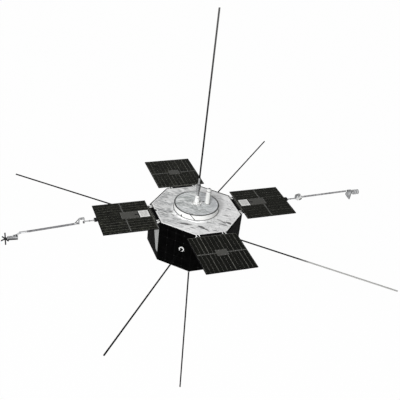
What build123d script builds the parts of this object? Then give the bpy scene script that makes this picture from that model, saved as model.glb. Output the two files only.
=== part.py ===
"""Spin-stabilised science satellite with its panels, booms and antennas deployed.

Millimetres, +Z up along the spin axis. The origin is the centre of the lower separation ring's
mating face. The right panel points to +X, the back panel to +Y, the left to -X, the front to -Y.
Panels and booms are made pointing to +X, with their width along Y, and then turned into place.
"""
import os
from math import cos, pi, radians, tan

from build123d import *

os.makedirs("parts", exist_ok=True)

cut_past = 1.0               # cutters run this far past the faces they open

# ---- body: eight walls between two decks, a foil blanket on each deck ----
body_half = 895.0            # wall faces from the spin axis
body_height = 920.0          # from blanket face to blanket face
wall_thick = 20.0
deck_thick = 20.0
blanket_inset = 23.0         # blanket's edge inside the wall faces
blanket_thick = 12.0
corner_gap = 1.0             # between neighbouring wall panels
block_margin = 335.0         # wall faces to the closed-in equipment block

# ---- separation rings, one on each end ----
ring_height = 140.0          # above the blanket's face
ring_radius = 468.5
ring_flange = 25.0           # width of the mating face
ring_foot = 8.0              # how far the foot stands out
ring_foot_thick = 12.0       # above the blanket's face
lid_ledge = 13.0
lid_thick = 6.0
lid_recess = 2.0             # lid's face below the mating face
blanket_clearance = 1.0      # around the ring's foot
collar_width = 26.0          # blanket's edge, turned up around the ring's foot
collar_height = 24.0         # above the rest of the blanket
bolt_count = 24
bolt_hole_radius = 3.3
bolt_hole_depth = 18.0

# ---- axial antenna units ----
foot_arm_length = 115.0      # crossed feet under the mast, from the middle
foot_arm_width = 52.0
foot_thick = 14.0
foot_boss_height = 14.0
foot_boss_margin = 8.0
mast_radius = 49.0
mast_height = 130.0
mast_cap_height = 30.0       # cone from the mast up to the canister's foot
canister_foot_radius = 18.0
canister_radius = 44.0
canister_taper_height = 190.0
canister_height = 260.0
nozzle_radius = 18.0
nozzle_height = 165.0
axial_rod_radius = 17.0
upper_rod_length = 3500.0
lower_rod_length = 3690.0
lower_rod_lean = 2.0         # degrees off the spin axis, towards +X

# ---- stub antennas beside the axial units ----
stub_x = 214.0
stub_y = -60.0
stub_radius = 53.0
stub_height = 368.0
stub_foot_margin = 4.0
stub_foot_thick = 10.0
stub_flat_radius = 18.0        # flat top inside the rounded rim

# ---- wire antennas on the diagonal walls ----
wire_drop = 460.0            # below the top blanket's face
wire_radius = 15.0
outlet_radius = 54.0
outlet_bore_radius = 34.0
outlet_floor = 4.0
outlet_stand = 16.0
# columns: name, wall azimuth, outlet's offset from the wall's middle, its rise, wire azimuth, length
wire_table = (
    ("wire_back_right", 45.0, 143.0, 0.0, 45.4, 3726.0),
    ("wire_back_left", 135.0, 178.0, 0.0, 138.6, 3434.0),
    ("wire_front_left", 225.0, 158.0, 40.0, 229.2, 3299.0),
    ("wire_front_right", 315.0, 111.0, 0.0, 317.5, 3432.0),
)

# ---- pale radiator plate on the left wall ----
radiator_stand = 8.0
radiator_side_margin = 18.0  # from the front corner
radiator_top_drop = 95.0     # below the top deck
radiator_low_margin = 170.0  # above the bottom deck
radiator_top_width = 320.0
radiator_low_width = 105.0
radiator_straight = 150.0    # full width down to here, then it tapers

# ---- panel hinges ----
hinge_stand = 35.0           # hinge line beyond the wall faces
hinge_spread = 275.0         # hinge middles from the panel's middle
hinge_ear_thick = 14.0
hinge_ear_gap = 42.0         # between the two ears of one hinge
hinge_ear_radius = 11.0
hinge_pin_radius = 5.0
hinge_seat = 19.0            # ear's seat on the deck's rim, inside the wall faces
pin_clearance = 0.05
side_clearance = 1.0         # each side of a moving lug
swing_clearance = 7.0        # between ears and the root bar around them
hinge_foot_height = 34.0
hinge_foot_thick = 4.0

# ---- solar panels ----
panel_top_drop = 10.0        # cell side below the top blanket's face
panel_length = 1122.0
panel_half_width = 525.0
board_thick = 18.0
cell_thick = 2.0
cell_margin = 12.0
root_bar_thick = 16.0
root_bar_inside = 25.0       # bar's inner edge inside the hinge line
root_strip_width = 15.0
cover_thick = 6.0
centre_plate_start = 477.0   # from the panel's inner edge
centre_plate_length = 175.0
centre_plate_half_width = 120.0
pad_start = 49.0
pad_length = 203.0
pad_half_width = 110.0
cable_cover_gap = 25.0       # pad to cable cover
cable_cover_length = 355.0
cable_cover_half_width = 112.0
cable_notch_length = 70.0
cable_notch_width = 40.0

# ---- instrument booms on the right and left panels ----
boom_side = 40.0             # booms and their pads lie this far towards +Y
bracket_length = 55.0
bracket_width = 84.0
bracket_height = 44.0
bracket_wall = 16.0
bracket_drop = 10.0          # bracket's middle below the panel's middle plane
stub_arm_radius = 12.0
stub_arm_drop = 20.0         # below the panel's middle plane
elbow_stand = 323.0          # elbow pin beyond the panel's outer edge
elbow_rise = 54.0            # elbow pin above the panel's middle plane
elbow_ear_thick = 7.0
elbow_ear_gap = 28.0
elbow_ear_radius = 14.0
elbow_pin_radius = 5.0
cheek_radius = 70.0          # round cheek plates on both sides of the right elbow
cheek_thick = 4.0
cheek_stand = 4.0            # outside the ears
cheek_hub_radius = 13.0
cheek_offset = 8.0           # plate's middle beyond the elbow pin
cheek_drop = 42.0            # and below it
knuckle_reach = 26.0         # elbow pin to the knuckle's upright
knuckle_upright = 22.0
knuckle_foot_margin = 4.0    # upright's end below the boom
fork_clearance = 12.0        # folded knuckle to the fork's base
fork_base_thick = 12.0
boom_radius = 19.0
# columns: name, azimuth, then the boom's side shift, its drop below the panel's middle plane where
# it leaves the knuckle, its rise in degrees and its run; None where there is no boom
panel_table = (
    ("right", 0.0, boom_side, 0.0, 1.45, 1300.0),
    ("back", 90.0, None, None, None, None),
    ("left", 180.0, -boom_side, 48.0, -3.6, 1126.0),
    ("front", 270.0, None, None, None, None),
)

# ---- sensors, placed from the end of each boom ----
case_length = 195.0          # stepped case under the left boom's end, turned slightly askew
case_width = 85.0
case_height = 62.0
case_step_start = 90.0       # from the inner end
case_step_height = 40.0      # beyond the step
case_turn = -5.0             # degrees
case_stand = 153.0           # case's middle beyond the boom's end
case_side = 60.0             # and to the side, towards the front panel
case_drop = 50.0             # case's middle below the boom's line
strut_radius = 7.0
strut_plate_thick = 12.0
coil_radius = 12.0
coil_half_height = 136.0     # upright coil
coil_half_reach = 94.0       # the two level coils
coil_turn = 31.0
coil_stand = 289.0
coil_side = 40.0
coil_drop = 77.0
coil_hub = 44.0
housing_length = 112.0       # kite-shaped housing under the right boom's end
housing_half_width = 36.0
housing_inset = 20.0         # inner top corner, from the inner end
housing_inner_depth = 111.0  # inner corner below the boom's line
housing_shoulder = 54.0      # outer corner below the boom's line
housing_depth = 215.0
housing_point_width = 16.0
housing_point_inset = 12.0   # point's far edge inside the outer face
drum_radius = 53.0
drum_length = 128.0
drum_drop = 54.0
drum_seat_radius = 30.0
drum_stand = 54.0            # housing's outer face to the drum

# ---- levels and places that follow ----
deck_level = ring_height + body_height
upper_face = deck_level + ring_height
mid_level = upper_face / 2.0
deck_top = deck_level - blanket_thick
wall_top = deck_top - deck_thick
wall_bottom = upper_face - wall_top
blanket_half = body_half - blanket_inset
half_wall_width = body_half * tan(pi / 8.0)
lid_radius = ring_radius - ring_flange
ring_bore_radius = lid_radius - lid_ledge
ring_foot_radius = ring_radius + ring_foot
bolt_circle = ring_radius + lid_radius
lid_top = upper_face - lid_recess
wire_level = deck_level - wire_drop
panel_top = deck_level - panel_top_drop
board_top = panel_top - cell_thick
board_bottom = board_top - board_thick
hinge_level = (panel_top + board_bottom) / 2.0
hinge_reach = body_half + hinge_stand
root_strip_start = hinge_reach + hinge_ear_radius + swing_clearance
panel_start = root_strip_start + root_strip_width
panel_end = panel_start + panel_length
ear_reach = hinge_ear_gap / 2.0 + hinge_ear_thick
elbow_reach = panel_end + elbow_stand
elbow_level = hinge_level + elbow_rise
boom_start = elbow_reach + knuckle_reach + knuckle_upright


def save(shape, node):
    export_step(shape, f"parts/{node}.step")


def box(x0, x1, y0, y1, z0, z1):
    middle = ((x0 + x1) / 2.0, (y0 + y1) / 2.0, (z0 + z1) / 2.0)
    return Pos(*middle) * Box(x1 - x0, y1 - y0, z1 - z0)


def rod(start, end, radius, end_radius=None):
    """A round bar between two points, or a cone if the end has a radius of its own."""
    run = Vector(*end) - Vector(*start)
    plane = Plane(origin=start, z_dir=run)
    low = (Align.CENTER, Align.CENTER, Align.MIN)
    if end_radius is None:
        return plane * Cylinder(radius, run.length, align=low)
    return plane * Cone(radius, end_radius, run.length, align=low)


def octagon(half, z0, z1):
    outline = RegularPolygon(half / cos(pi / 8.0), 8, rotation=22.5)
    return Pos(0, 0, z0) * extrude(outline, z1 - z0)


def side_profile(points, y0, y1):
    """A flat shape drawn in X and Z, with its thickness from y0 to y1."""
    face = make_face(Polyline(*((x, 0.0, z) for x, z in points), close=True))
    return Pos(0, (y0 + y1) / 2.0, 0) * extrude(face, (y1 - y0) / 2.0, dir=(0, 1, 0), both=True)


def turned(shape, azimuth):
    return Rot(0, 0, azimuth) * shape


def flipped(shape):
    """The same piece on the underside: half a turn about the middle level's X axis."""
    return Pos(0, 0, mid_level) * Rot(180, 0, 0) * Pos(0, 0, -mid_level) * shape


# ---- body ----
def build_body():
    deck = octagon(body_half, wall_top, deck_top)
    save(deck, "top_deck")
    save(flipped(deck), "bottom_deck")

    blanket = octagon(blanket_half, deck_top, deck_level)
    ring_hole = ring_foot_radius + blanket_clearance
    blanket += rod((0, 0, deck_level), (0, 0, deck_level + collar_height), ring_hole + collar_width)
    blanket -= rod((0, 0, deck_top - cut_past), (0, 0, deck_level + collar_height + cut_past),
                   ring_hole)
    save(blanket, "top_blanket")
    save(flipped(blanket), "bottom_blanket")

    walls = octagon(body_half, wall_bottom, wall_top)
    walls -= octagon(body_half - wall_thick, wall_bottom - cut_past, wall_top + cut_past)
    reach = body_half / cos(pi / 8.0) + cut_past
    for index in range(8):
        slot = box(0.0, reach, -corner_gap / 2.0, corner_gap / 2.0, wall_bottom, wall_top)
        walls -= turned(slot, 22.5 + 45.0 * index)
    save(walls, "side_walls")
    save(octagon(body_half - block_margin, wall_bottom, wall_top), "equipment_block")


def build_radiator():
    """Tapered plate on the left wall, along its front corner."""
    side = half_wall_width - radiator_side_margin
    top = wall_top - radiator_top_drop
    low = wall_bottom + radiator_low_margin
    outline = Polyline(
        (0.0, side, top),
        (0.0, side, low),
        (0.0, side - radiator_low_width, low),
        (0.0, side - radiator_top_width, top - radiator_straight),
        (0.0, side - radiator_top_width, top),
        close=True,
    )
    plate = extrude(make_face(outline), radiator_stand, dir=(1, 0, 0))
    save(turned(Pos(body_half, 0, 0) * plate, 180.0), "radiator_plate")


# ---- separation rings ----
def build_rings():
    foot_top = deck_level + ring_foot_thick
    section = Polyline(
        (ring_bore_radius, 0, deck_top),
        (ring_foot_radius, 0, deck_top),
        (ring_foot_radius, 0, foot_top),
        (ring_radius, 0, foot_top),
        (ring_radius, 0, upper_face),
        (lid_radius, 0, upper_face),
        (lid_radius, 0, lid_top - lid_thick),
        (ring_bore_radius, 0, lid_top - lid_thick),
        close=True,
    )
    ring = revolve(make_face(section), Axis.Z)
    for index in range(bolt_count):
        hole = rod((bolt_circle / 2.0, 0, upper_face - bolt_hole_depth),
                   (bolt_circle / 2.0, 0, upper_face + cut_past), bolt_hole_radius)
        ring -= turned(hole, 360.0 / bolt_count * index)
    lid = rod((0, 0, lid_top - lid_thick), (0, 0, lid_top), lid_radius)
    save(ring, "upper_ring")
    save(flipped(ring), "lower_ring")
    save(lid, "upper_ring_lid")
    save(flipped(lid), "lower_ring_lid")


# ---- antennas on the rings ----
def build_axial_units():
    foot_top = lid_top + foot_thick
    boss_top = foot_top + foot_boss_height
    mast_top = boss_top + mast_height
    cap_top = mast_top + mast_cap_height
    taper_top = cap_top + canister_taper_height
    can_top = cap_top + canister_height
    nozzle_top = can_top + nozzle_height

    half_arm = foot_arm_width / 2.0
    foot = box(-foot_arm_length, foot_arm_length, -half_arm, half_arm, lid_top, foot_top)
    foot += turned(foot, 90.0)
    foot += rod((0, 0, foot_top), (0, 0, boss_top), mast_radius + foot_boss_margin)
    mast = rod((0, 0, boss_top), (0, 0, mast_top), mast_radius)
    mast += rod((0, 0, mast_top), (0, 0, cap_top), mast_radius, canister_foot_radius)
    canister = rod((0, 0, cap_top), (0, 0, taper_top), canister_foot_radius, canister_radius)
    canister += rod((0, 0, taper_top), (0, 0, can_top), canister_radius)
    nozzle = rod((0, 0, can_top), (0, 0, nozzle_top), nozzle_radius)
    for piece, name in ((foot, "foot"), (mast, "mast"), (canister, "canister"),
                        (nozzle, "nozzle")):
        save(piece, f"upper_axial_{name}")
        save(flipped(piece), f"lower_axial_{name}")

    upper = rod((0, 0, nozzle_top), (0, 0, nozzle_top + upper_rod_length), axial_rod_radius)
    save(upper, "upper_axial_rod")
    lower = rod((0, 0, axial_rod_radius), (0, 0, -lower_rod_length), axial_rod_radius)
    reach = lower_rod_length
    lower = Rot(0, -lower_rod_lean, 0) * lower
    lower &= box(-reach, reach, -reach, reach, -2.0 * reach, 0.0)
    save(Pos(0, 0, upper_face - nozzle_top) * lower, "lower_axial_rod")


def build_stub_antennas():
    foot_top = lid_top + stub_foot_thick
    foot = rod((stub_x, stub_y, lid_top), (stub_x, stub_y, foot_top), stub_radius + stub_foot_margin)
    tube = rod((stub_x, stub_y, foot_top), (stub_x, stub_y, lid_top + stub_height), stub_radius)
    tube = fillet(tube.edges().group_by(Axis.Z)[-1], stub_radius - stub_flat_radius)
    stub = foot + tube
    save(stub, "upper_stub_antenna")
    save(flipped(stub), "lower_stub_antenna")


# ---- wire antennas ----
def build_wires():
    outlets = []
    floor = body_half + outlet_floor
    for name, wall_azimuth, offset, rise, wire_azimuth, length in wire_table:
        level = wire_level + rise
        outlet = rod((body_half, offset, level), (body_half + outlet_stand, offset, level),
                     outlet_radius)
        outlet -= rod((floor, offset, level), (body_half + outlet_stand + cut_past, offset, level),
                      outlet_bore_radius)
        outlets.append(turned(outlet, wall_azimuth))
        lean = Rot(0, 0, wire_azimuth - wall_azimuth)
        wire = lean * rod((-wire_radius, 0, 0), (length, 0, 0), wire_radius)
        wire = Pos(floor, offset, level) * wire
        wire &= box(floor, floor + length, offset - length, offset + length,
                    level - length, level + length)
        save(turned(wire, wall_azimuth), name)
    save(Compound(children=outlets), "wire_outlets")


# ---- panel hinges ----
def ears(middle, gap, thick):
    """Low and high side of the two ears of a fork."""
    return ((middle - gap / 2.0 - thick, middle - gap / 2.0),
            (middle + gap / 2.0, middle + gap / 2.0 + thick))


def build_hinge_brackets():
    brackets = []
    seat_start = body_half - hinge_seat
    ear_outline = (
        (seat_start, deck_top),
        (seat_start, deck_level),
        (body_half, deck_level),
        (hinge_reach, hinge_level + hinge_ear_radius),
        (hinge_reach, hinge_level - hinge_ear_radius),
        (body_half, hinge_level - hinge_ear_radius),
        (body_half, deck_top),
    )
    for _, azimuth, *_ in panel_table:
        for middle in (-hinge_spread, hinge_spread):
            bracket = box(body_half, body_half + hinge_foot_thick,
                          middle - ear_reach, middle + ear_reach,
                          hinge_level - hinge_foot_height / 2.0,
                          hinge_level + hinge_foot_height / 2.0)
            for low, high in ears(middle, hinge_ear_gap, hinge_ear_thick):
                bracket += side_profile(ear_outline, low, high)
                bracket += rod((hinge_reach, low, hinge_level), (hinge_reach, high, hinge_level),
                               hinge_ear_radius)
            bracket += rod((hinge_reach, middle - ear_reach, hinge_level),
                           (hinge_reach, middle + ear_reach, hinge_level), hinge_pin_radius)
            brackets.append(turned(bracket, azimuth))
    save(Compound(children=brackets), "hinge_brackets")


def panel_root():
    """Bar along the panel's inner edge, stepped around the ears, with a lug in each hinge."""
    low, high = hinge_level - root_bar_thick / 2.0, hinge_level + root_bar_thick / 2.0
    strip_half = hinge_spread + ear_reach
    bar_half = hinge_spread - ear_reach - swing_clearance
    root = box(root_strip_start, panel_start, -strip_half, strip_half, low, high)
    root += box(hinge_reach - root_bar_inside, panel_start, -bar_half, bar_half, low, high)
    lug_half = hinge_ear_gap / 2.0 - side_clearance
    for middle in (-hinge_spread, hinge_spread):
        left, right = middle - lug_half, middle + lug_half
        root += box(hinge_reach, panel_start, left, right, low, high)
        root += rod((hinge_reach, left, hinge_level), (hinge_reach, right, hinge_level),
                    root_bar_thick / 2.0)
        root -= rod((hinge_reach, left - cut_past, hinge_level),
                    (hinge_reach, right + cut_past, hinge_level),
                    hinge_pin_radius + pin_clearance)
    return root


# ---- solar panels ----
def cover(start, length, half_width, shift):
    return box(start, start + length, shift - half_width, shift + half_width,
               panel_top, panel_top + cover_thick)


def build_panels():
    for name, azimuth, shift, *_ in panel_table:
        save(turned(panel_root(), azimuth), f"{name}_panel_root")
        board = box(panel_start, panel_end, -panel_half_width, panel_half_width,
                    board_bottom, board_top)
        save(turned(board, azimuth), f"{name}_panel_board")
        cell_half = panel_half_width - cell_margin
        cells = box(panel_start + cell_margin, panel_end - cell_margin, -cell_half, cell_half,
                    board_top, panel_top)
        save(turned(cells, azimuth), f"{name}_panel_cells")
        if shift is None:
            plate = cover(panel_start + centre_plate_start, centre_plate_length,
                          centre_plate_half_width, 0.0)
            save(turned(plate, azimuth), f"{name}_centre_plate")
            continue
        pad = cover(panel_start + pad_start, pad_length, pad_half_width, shift)
        save(turned(pad, azimuth), f"{name}_boom_pad")
        cable_start = panel_start + pad_start + pad_length + cable_cover_gap
        cable_cover = cover(cable_start, cable_cover_length, cable_cover_half_width, shift)
        half_notch = cable_notch_width / 2.0
        cable_cover -= box(cable_start - cut_past, cable_start + cable_notch_length,
                           shift - half_notch, shift + half_notch,
                           panel_top - cut_past, panel_top + cover_thick + cut_past)
        save(turned(cable_cover, azimuth), f"{name}_cable_cover")


# ---- booms ----
def build_booms():
    for name, azimuth, shift, drop, rise, length in panel_table:
        if shift is None:
            continue
        start_level = hinge_level - drop
        slope = tan(radians(rise))
        spare = 2.0 * boom_radius
        tip = Vector(boom_start + length, shift, start_level + slope * length)
        overrun = Vector(spare, 0, slope * spare)
        boom = rod(Vector(boom_start, shift, start_level) - overrun, tip + overrun, boom_radius)
        boom &= box(boom_start, tip.X, shift - spare, shift + spare, 0.0, 2.0 * deck_level)
        save(turned(boom_bracket(shift), azimuth), f"{name}_boom_bracket")
        arm = stub_arm(shift)
        if name == "right":
            arm += elbow_cheeks(shift)
        save(turned(arm, azimuth), f"{name}_stub_arm")
        save(turned(boom_knuckle(shift, start_level), azimuth), f"{name}_boom_knuckle")
        if name == "left":
            build_coil_sensor(azimuth, tip)
        else:
            build_field_sensor(azimuth, tip, boom)
        save(turned(boom, azimuth), f"{name}_long_boom")


def boom_bracket(shift):
    """Open frame on the panel's outer edge that holds the stub arm."""
    middle = hinge_level - bracket_drop
    low, high = middle - bracket_height / 2.0, middle + bracket_height / 2.0
    half = bracket_width / 2.0
    frame = box(panel_end, panel_end + bracket_length, shift - half, shift + half, low, high)
    window = half - bracket_wall
    frame -= box(panel_end + bracket_wall, panel_end + bracket_length - bracket_wall,
                 shift - window, shift + window, low - cut_past, high + cut_past)
    return frame


def stub_arm(shift):
    """Fixed arm from the bracket to the elbow, ending in a fork that stands up to the pin."""
    fork_half = elbow_ear_gap / 2.0 + elbow_ear_thick
    base_end = elbow_reach - knuckle_reach - knuckle_upright - fork_clearance
    base_start = base_end - fork_base_thick
    ear_low, ear_high = elbow_level - elbow_ear_radius, elbow_level + elbow_ear_radius
    arm_level = hinge_level - stub_arm_drop
    arm = rod((panel_end + bracket_length, shift, arm_level), (base_start, shift, arm_level),
              stub_arm_radius)
    arm += box(base_start, base_end, shift - fork_half, shift + fork_half,
               arm_level - stub_arm_radius, ear_high)
    for low, high in ears(shift, elbow_ear_gap, elbow_ear_thick):
        arm += box(base_start, elbow_reach, low, high, ear_low, ear_high)
        arm += rod((elbow_reach, low, elbow_level), (elbow_reach, high, elbow_level),
                   elbow_ear_radius)
    arm += rod((elbow_reach, shift - fork_half, elbow_level),
               (elbow_reach, shift + fork_half, elbow_level), elbow_pin_radius)
    return arm


def elbow_cheeks(shift):
    """Round plates that stand off the fork's ears on hubs around the pin."""
    reach, level = elbow_reach + cheek_offset, elbow_level - cheek_drop
    cheeks = Part()
    for side in (-1.0, 1.0):
        foot = shift + side * (elbow_ear_gap / 2.0 + elbow_ear_thick)
        face = foot + side * cheek_stand
        cheeks += rod((elbow_reach, foot, elbow_level), (elbow_reach, face, elbow_level),
                      cheek_hub_radius)
        cheeks += rod((reach, face, level), (reach, face + side * cheek_thick, level),
                      cheek_radius)
    return cheeks


def boom_knuckle(shift, start_level):
    """Turning lug on the elbow's pin, with an upright that carries the boom below it."""
    half = elbow_ear_gap / 2.0 - side_clearance
    lug_low, lug_high = elbow_level - elbow_ear_radius, elbow_level + elbow_ear_radius
    upright_start = elbow_reach + knuckle_reach
    foot_level = start_level - boom_radius - knuckle_foot_margin
    knuckle = side_profile((
        (elbow_reach, lug_low),
        (elbow_reach, lug_high),
        (boom_start - elbow_ear_radius, lug_high),
        (boom_start, lug_high - elbow_ear_radius),
        (boom_start, foot_level),
        (upright_start, foot_level),
        (upright_start, lug_low),
    ), shift - half, shift + half)
    knuckle += rod((elbow_reach, shift - half, elbow_level),
                   (elbow_reach, shift + half, elbow_level), elbow_ear_radius)
    knuckle -= rod((elbow_reach, shift - half - cut_past, elbow_level),
                   (elbow_reach, shift + half + cut_past, elbow_level),
                   elbow_pin_radius + pin_clearance)
    return knuckle


def build_coil_sensor(azimuth, tip):
    """Stepped case on two thin struts, with three crossed coils beyond it."""
    middle = tip + (case_stand, case_side, -case_drop)
    half_length, half_width = case_length / 2.0, case_width / 2.0
    low, high = -case_height / 2.0, case_height / 2.0
    step = case_step_start - half_length
    block = side_profile((
        (-half_length, low),
        (half_length, low),
        (half_length, low + case_step_height),
        (step, low + case_step_height),
        (step, high),
        (-half_length, high),
    ), -half_width, half_width)
    block = Pos(*middle) * Rot(0, 0, case_turn) * block
    case = box(tip.X, tip.X + strut_plate_thick, tip.Y - boom_radius, tip.Y + boom_radius,
               tip.Z - boom_radius, tip.Z + boom_radius)
    for side in (-1.0, 1.0):
        start = tip + (strut_plate_thick / 2.0, side * (boom_radius - strut_radius), 0)
        end = middle + (step / 2.0, side * (half_width - strut_radius), 0)
        case += rod(start, end, strut_radius)
    case = (case - block) + block
    centre = tip + (coil_stand, coil_side, -coil_drop)
    upright = Vector(0, 0, coil_half_height)
    coils = rod(centre - upright, centre + upright, coil_radius)
    for angle in (coil_turn, coil_turn + 90.0):
        run = Vector(coil_half_reach, 0, 0).rotate(Axis.Z, angle)
        coils += rod(centre - run, centre + run, coil_radius)
    coils += Pos(*centre) * Rot(0, 0, coil_turn) * Box(coil_hub, coil_hub, coil_hub)
    coils += rod(middle + (0, 0, low + case_step_height / 2.0), centre, coil_radius)
    save(turned(case, azimuth), "left_sensor_case")
    save(turned(coils - block, azimuth), "left_sensor_coils")


def build_field_sensor(azimuth, tip, boom):
    """Kite-shaped housing that clasps the boom's end, and a drum on its far side."""
    inner_end = tip.X - housing_length
    point_end = tip.X - housing_point_inset
    housing = side_profile((
        (inner_end + housing_inset, tip.Z),
        (tip.X, tip.Z),
        (tip.X, tip.Z - housing_shoulder),
        (point_end, tip.Z - housing_depth),
        (point_end - housing_point_width, tip.Z - housing_depth),
        (inner_end, tip.Z - housing_inner_depth),
    ), tip.Y - housing_half_width, tip.Y + housing_half_width)
    drum_start = tip + (drum_stand, 0, -drum_drop)
    seat = rod(drum_start - (drum_stand + housing_length / 2.0, 0, 0), drum_start,
               drum_seat_radius)
    drum = rod(drum_start, drum_start + (drum_length, 0, 0), drum_radius)
    save(turned(housing - boom, azimuth), "right_sensor_housing")
    save(turned(drum + (seat - housing), azimuth), "right_sensor_drum")


build_body()
build_radiator()
build_rings()
build_axial_units()
build_stub_antennas()
build_wires()
build_hinge_brackets()
build_panels()
build_booms()
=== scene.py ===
import math
import bmesh
import bpy
import numpy as np
from mathutils import Matrix, Vector


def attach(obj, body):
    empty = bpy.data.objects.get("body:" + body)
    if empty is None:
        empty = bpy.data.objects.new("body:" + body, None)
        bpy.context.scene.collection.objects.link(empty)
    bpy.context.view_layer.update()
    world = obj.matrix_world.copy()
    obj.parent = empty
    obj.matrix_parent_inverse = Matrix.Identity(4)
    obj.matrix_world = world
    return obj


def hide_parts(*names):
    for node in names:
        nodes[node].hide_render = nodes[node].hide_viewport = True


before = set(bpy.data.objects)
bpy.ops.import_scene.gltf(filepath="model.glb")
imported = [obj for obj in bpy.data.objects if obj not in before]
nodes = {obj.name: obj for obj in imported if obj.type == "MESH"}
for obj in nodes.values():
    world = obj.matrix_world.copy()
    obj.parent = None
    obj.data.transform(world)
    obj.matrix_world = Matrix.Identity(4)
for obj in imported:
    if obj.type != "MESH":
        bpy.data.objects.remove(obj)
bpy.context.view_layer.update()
scene = bpy.context.scene
scene.view_settings.view_transform = "Standard"
print("frame loaded:", len(nodes), "CAD nodes")

midLevel = 0.6           # the underside repeats the top, half a turn about the X axis at this level
middle = Matrix.Translation((0, 0, midLevel))
flipOver = middle @ Matrix.Rotation(math.pi, 4, "X") @ middle.inverted()
ends = {"upper": Matrix.Identity(4), "lower": flipOver}
panelTurn = {"right": 0, "back": 90, "left": 180, "front": 270}
boomSides = ("right", "left")
boomShift = {"right": 0.04, "back": 0.0, "left": -0.04, "front": 0.0}      # the boom's line beside the panel's middle
stubPlace = (0.214, -0.060)      # the stub antenna's axis, beside the mast


# where the camera stands in metres, its angles in degrees with the roll in radians, and the focal length as a count
# of the frame's own steps
view = {"place": (-4.729, -11.253, 8.981), "azimuth": -23.08, "elevation": 32.23, "roll": 0.119,
        "focal": 697.3, "frame": 400, "sensor": 36, "farthest": 200}


def makeCamera():
    # back = away from what is looked at, right = level, up = back x right, then both are rolled about back
    azimuth, elevation = math.radians(view["azimuth"]), math.radians(view["elevation"])
    back = Vector((math.sin(azimuth) * math.cos(elevation), -math.cos(azimuth) * math.cos(elevation),
                   math.sin(elevation)))
    right = Vector((math.cos(azimuth), math.sin(azimuth), 0))
    up = back.cross(right)
    c, s = math.cos(view["roll"]), math.sin(view["roll"])
    turned = Matrix((c * right + s * up, c * up - s * right, back)).transposed().to_4x4()
    data = bpy.data.cameras.new("camera")
    data.sensor_width = view["sensor"]
    data.lens = view["sensor"] * view["focal"] / view["frame"]
    data.clip_end = view["farthest"]
    camera = bpy.data.objects.new("camera", data)
    camera.matrix_world = Matrix.Translation(view["place"]) @ turned
    scene.collection.objects.link(camera)
    scene.camera = camera


# sRGB hex colour to linear: the lowest part is straight, the rest is a 2.4 power
def hexLinear(text):
    values = [int(text[k:k + 2], 16) / 255 for k in (1, 3, 5)]
    return [v / 12.92 if v <= 0.04045 else ((v + 0.055) / 1.055) ** 2.4 for v in values] + [1.0]


# adds one node: a key is one of its own properties, "stops" for a ramp, or a socket's name or number; a socket takes
# a number, a hex colour, another socket, or another node's first output
def addNode(tree, kind, values=None):
    node = tree.nodes.new("ShaderNode" + kind)
    for key, value in (values or {}).items():
        if isinstance(value, bpy.types.Node):
            value = value.outputs[0]
        if isinstance(value, str) and value.startswith("#"):
            value = hexLinear(value)
        if key == "stops":
            ramp = node.color_ramp
            ramp.elements.remove(ramp.elements[1])
            ramp.elements[0].position, ramp.elements[0].color = value[0][0], hexLinear(value[0][1])
            for place, colour in value[1:]:
                ramp.elements.new(place).color = hexLinear(colour)
        elif isinstance(value, bpy.types.NodeSocket):
            tree.links.new(value, node.inputs[key])
        elif isinstance(key, str) and hasattr(node, key):
            setattr(node, key, value)
        else:
            node.inputs[key].default_value = value
    return node


# node tree of a material or world, cleared of the nodes it starts with
def emptyTree(owner):
    owner.use_nodes = True
    owner.node_tree.nodes.clear()
    return owner.node_tree


# 1 for the camera's own, glossy and transmission rays
def straightRays(tree):
    rays = addNode(tree, "LightPath").outputs
    seen = addNode(tree, "Math", {"operation": "MAXIMUM", 0: rays["Is Camera Ray"], 1: rays["Is Glossy Ray"]})
    return addNode(tree, "Math", {"operation": "MAXIMUM", 0: seen, 1: rays["Is Transmission Ray"]})


# metres and degrees; fill and fillDark are the world's strength on the lamp's side and away from it
studio = {"floorLevel": -4.6, "floorSize": 160, "floorColour": "#f4f4f4", "fill": 0.42, "fillDark": 0.2,
          "whiteShare": 0.985, "lampSize": 4.5, "lampPower": 1720, "lampAzimuth": 228, "lampElevation": 27,
          "lampReach": 14.0, "lampAim": (0, 0, 1)}


def makeWorld(azimuth):
    # soft world light, brighter on the lamp's side; camera, glossy and transmission rays see plain white
    world = bpy.data.worlds.new("studio")
    scene.world = world
    tree = emptyTree(world)
    way = addNode(tree, "TexCoord")
    side = addNode(tree, "VectorMath", {"operation": "DOT_PRODUCT", 0: way.outputs["Generated"],
                                        1: (math.cos(azimuth), math.sin(azimuth), 0.35)})
    level = addNode(tree, "MapRange", {"Value": side.outputs["Value"], "From Min": -0.9, "From Max": 1.0,
                                       "To Min": studio["fillDark"], "To Max": studio["fill"]})
    soft = addNode(tree, "Background", {"Color": "#ffffff", "Strength": level})
    plain = addNode(tree, "Background", {"Color": "#ffffff", "Strength": 1.0})
    mixed = addNode(tree, "MixShader", {0: straightRays(tree), 1: soft, 2: plain})
    addNode(tree, "OutputWorld", {"Surface": mixed})


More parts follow.
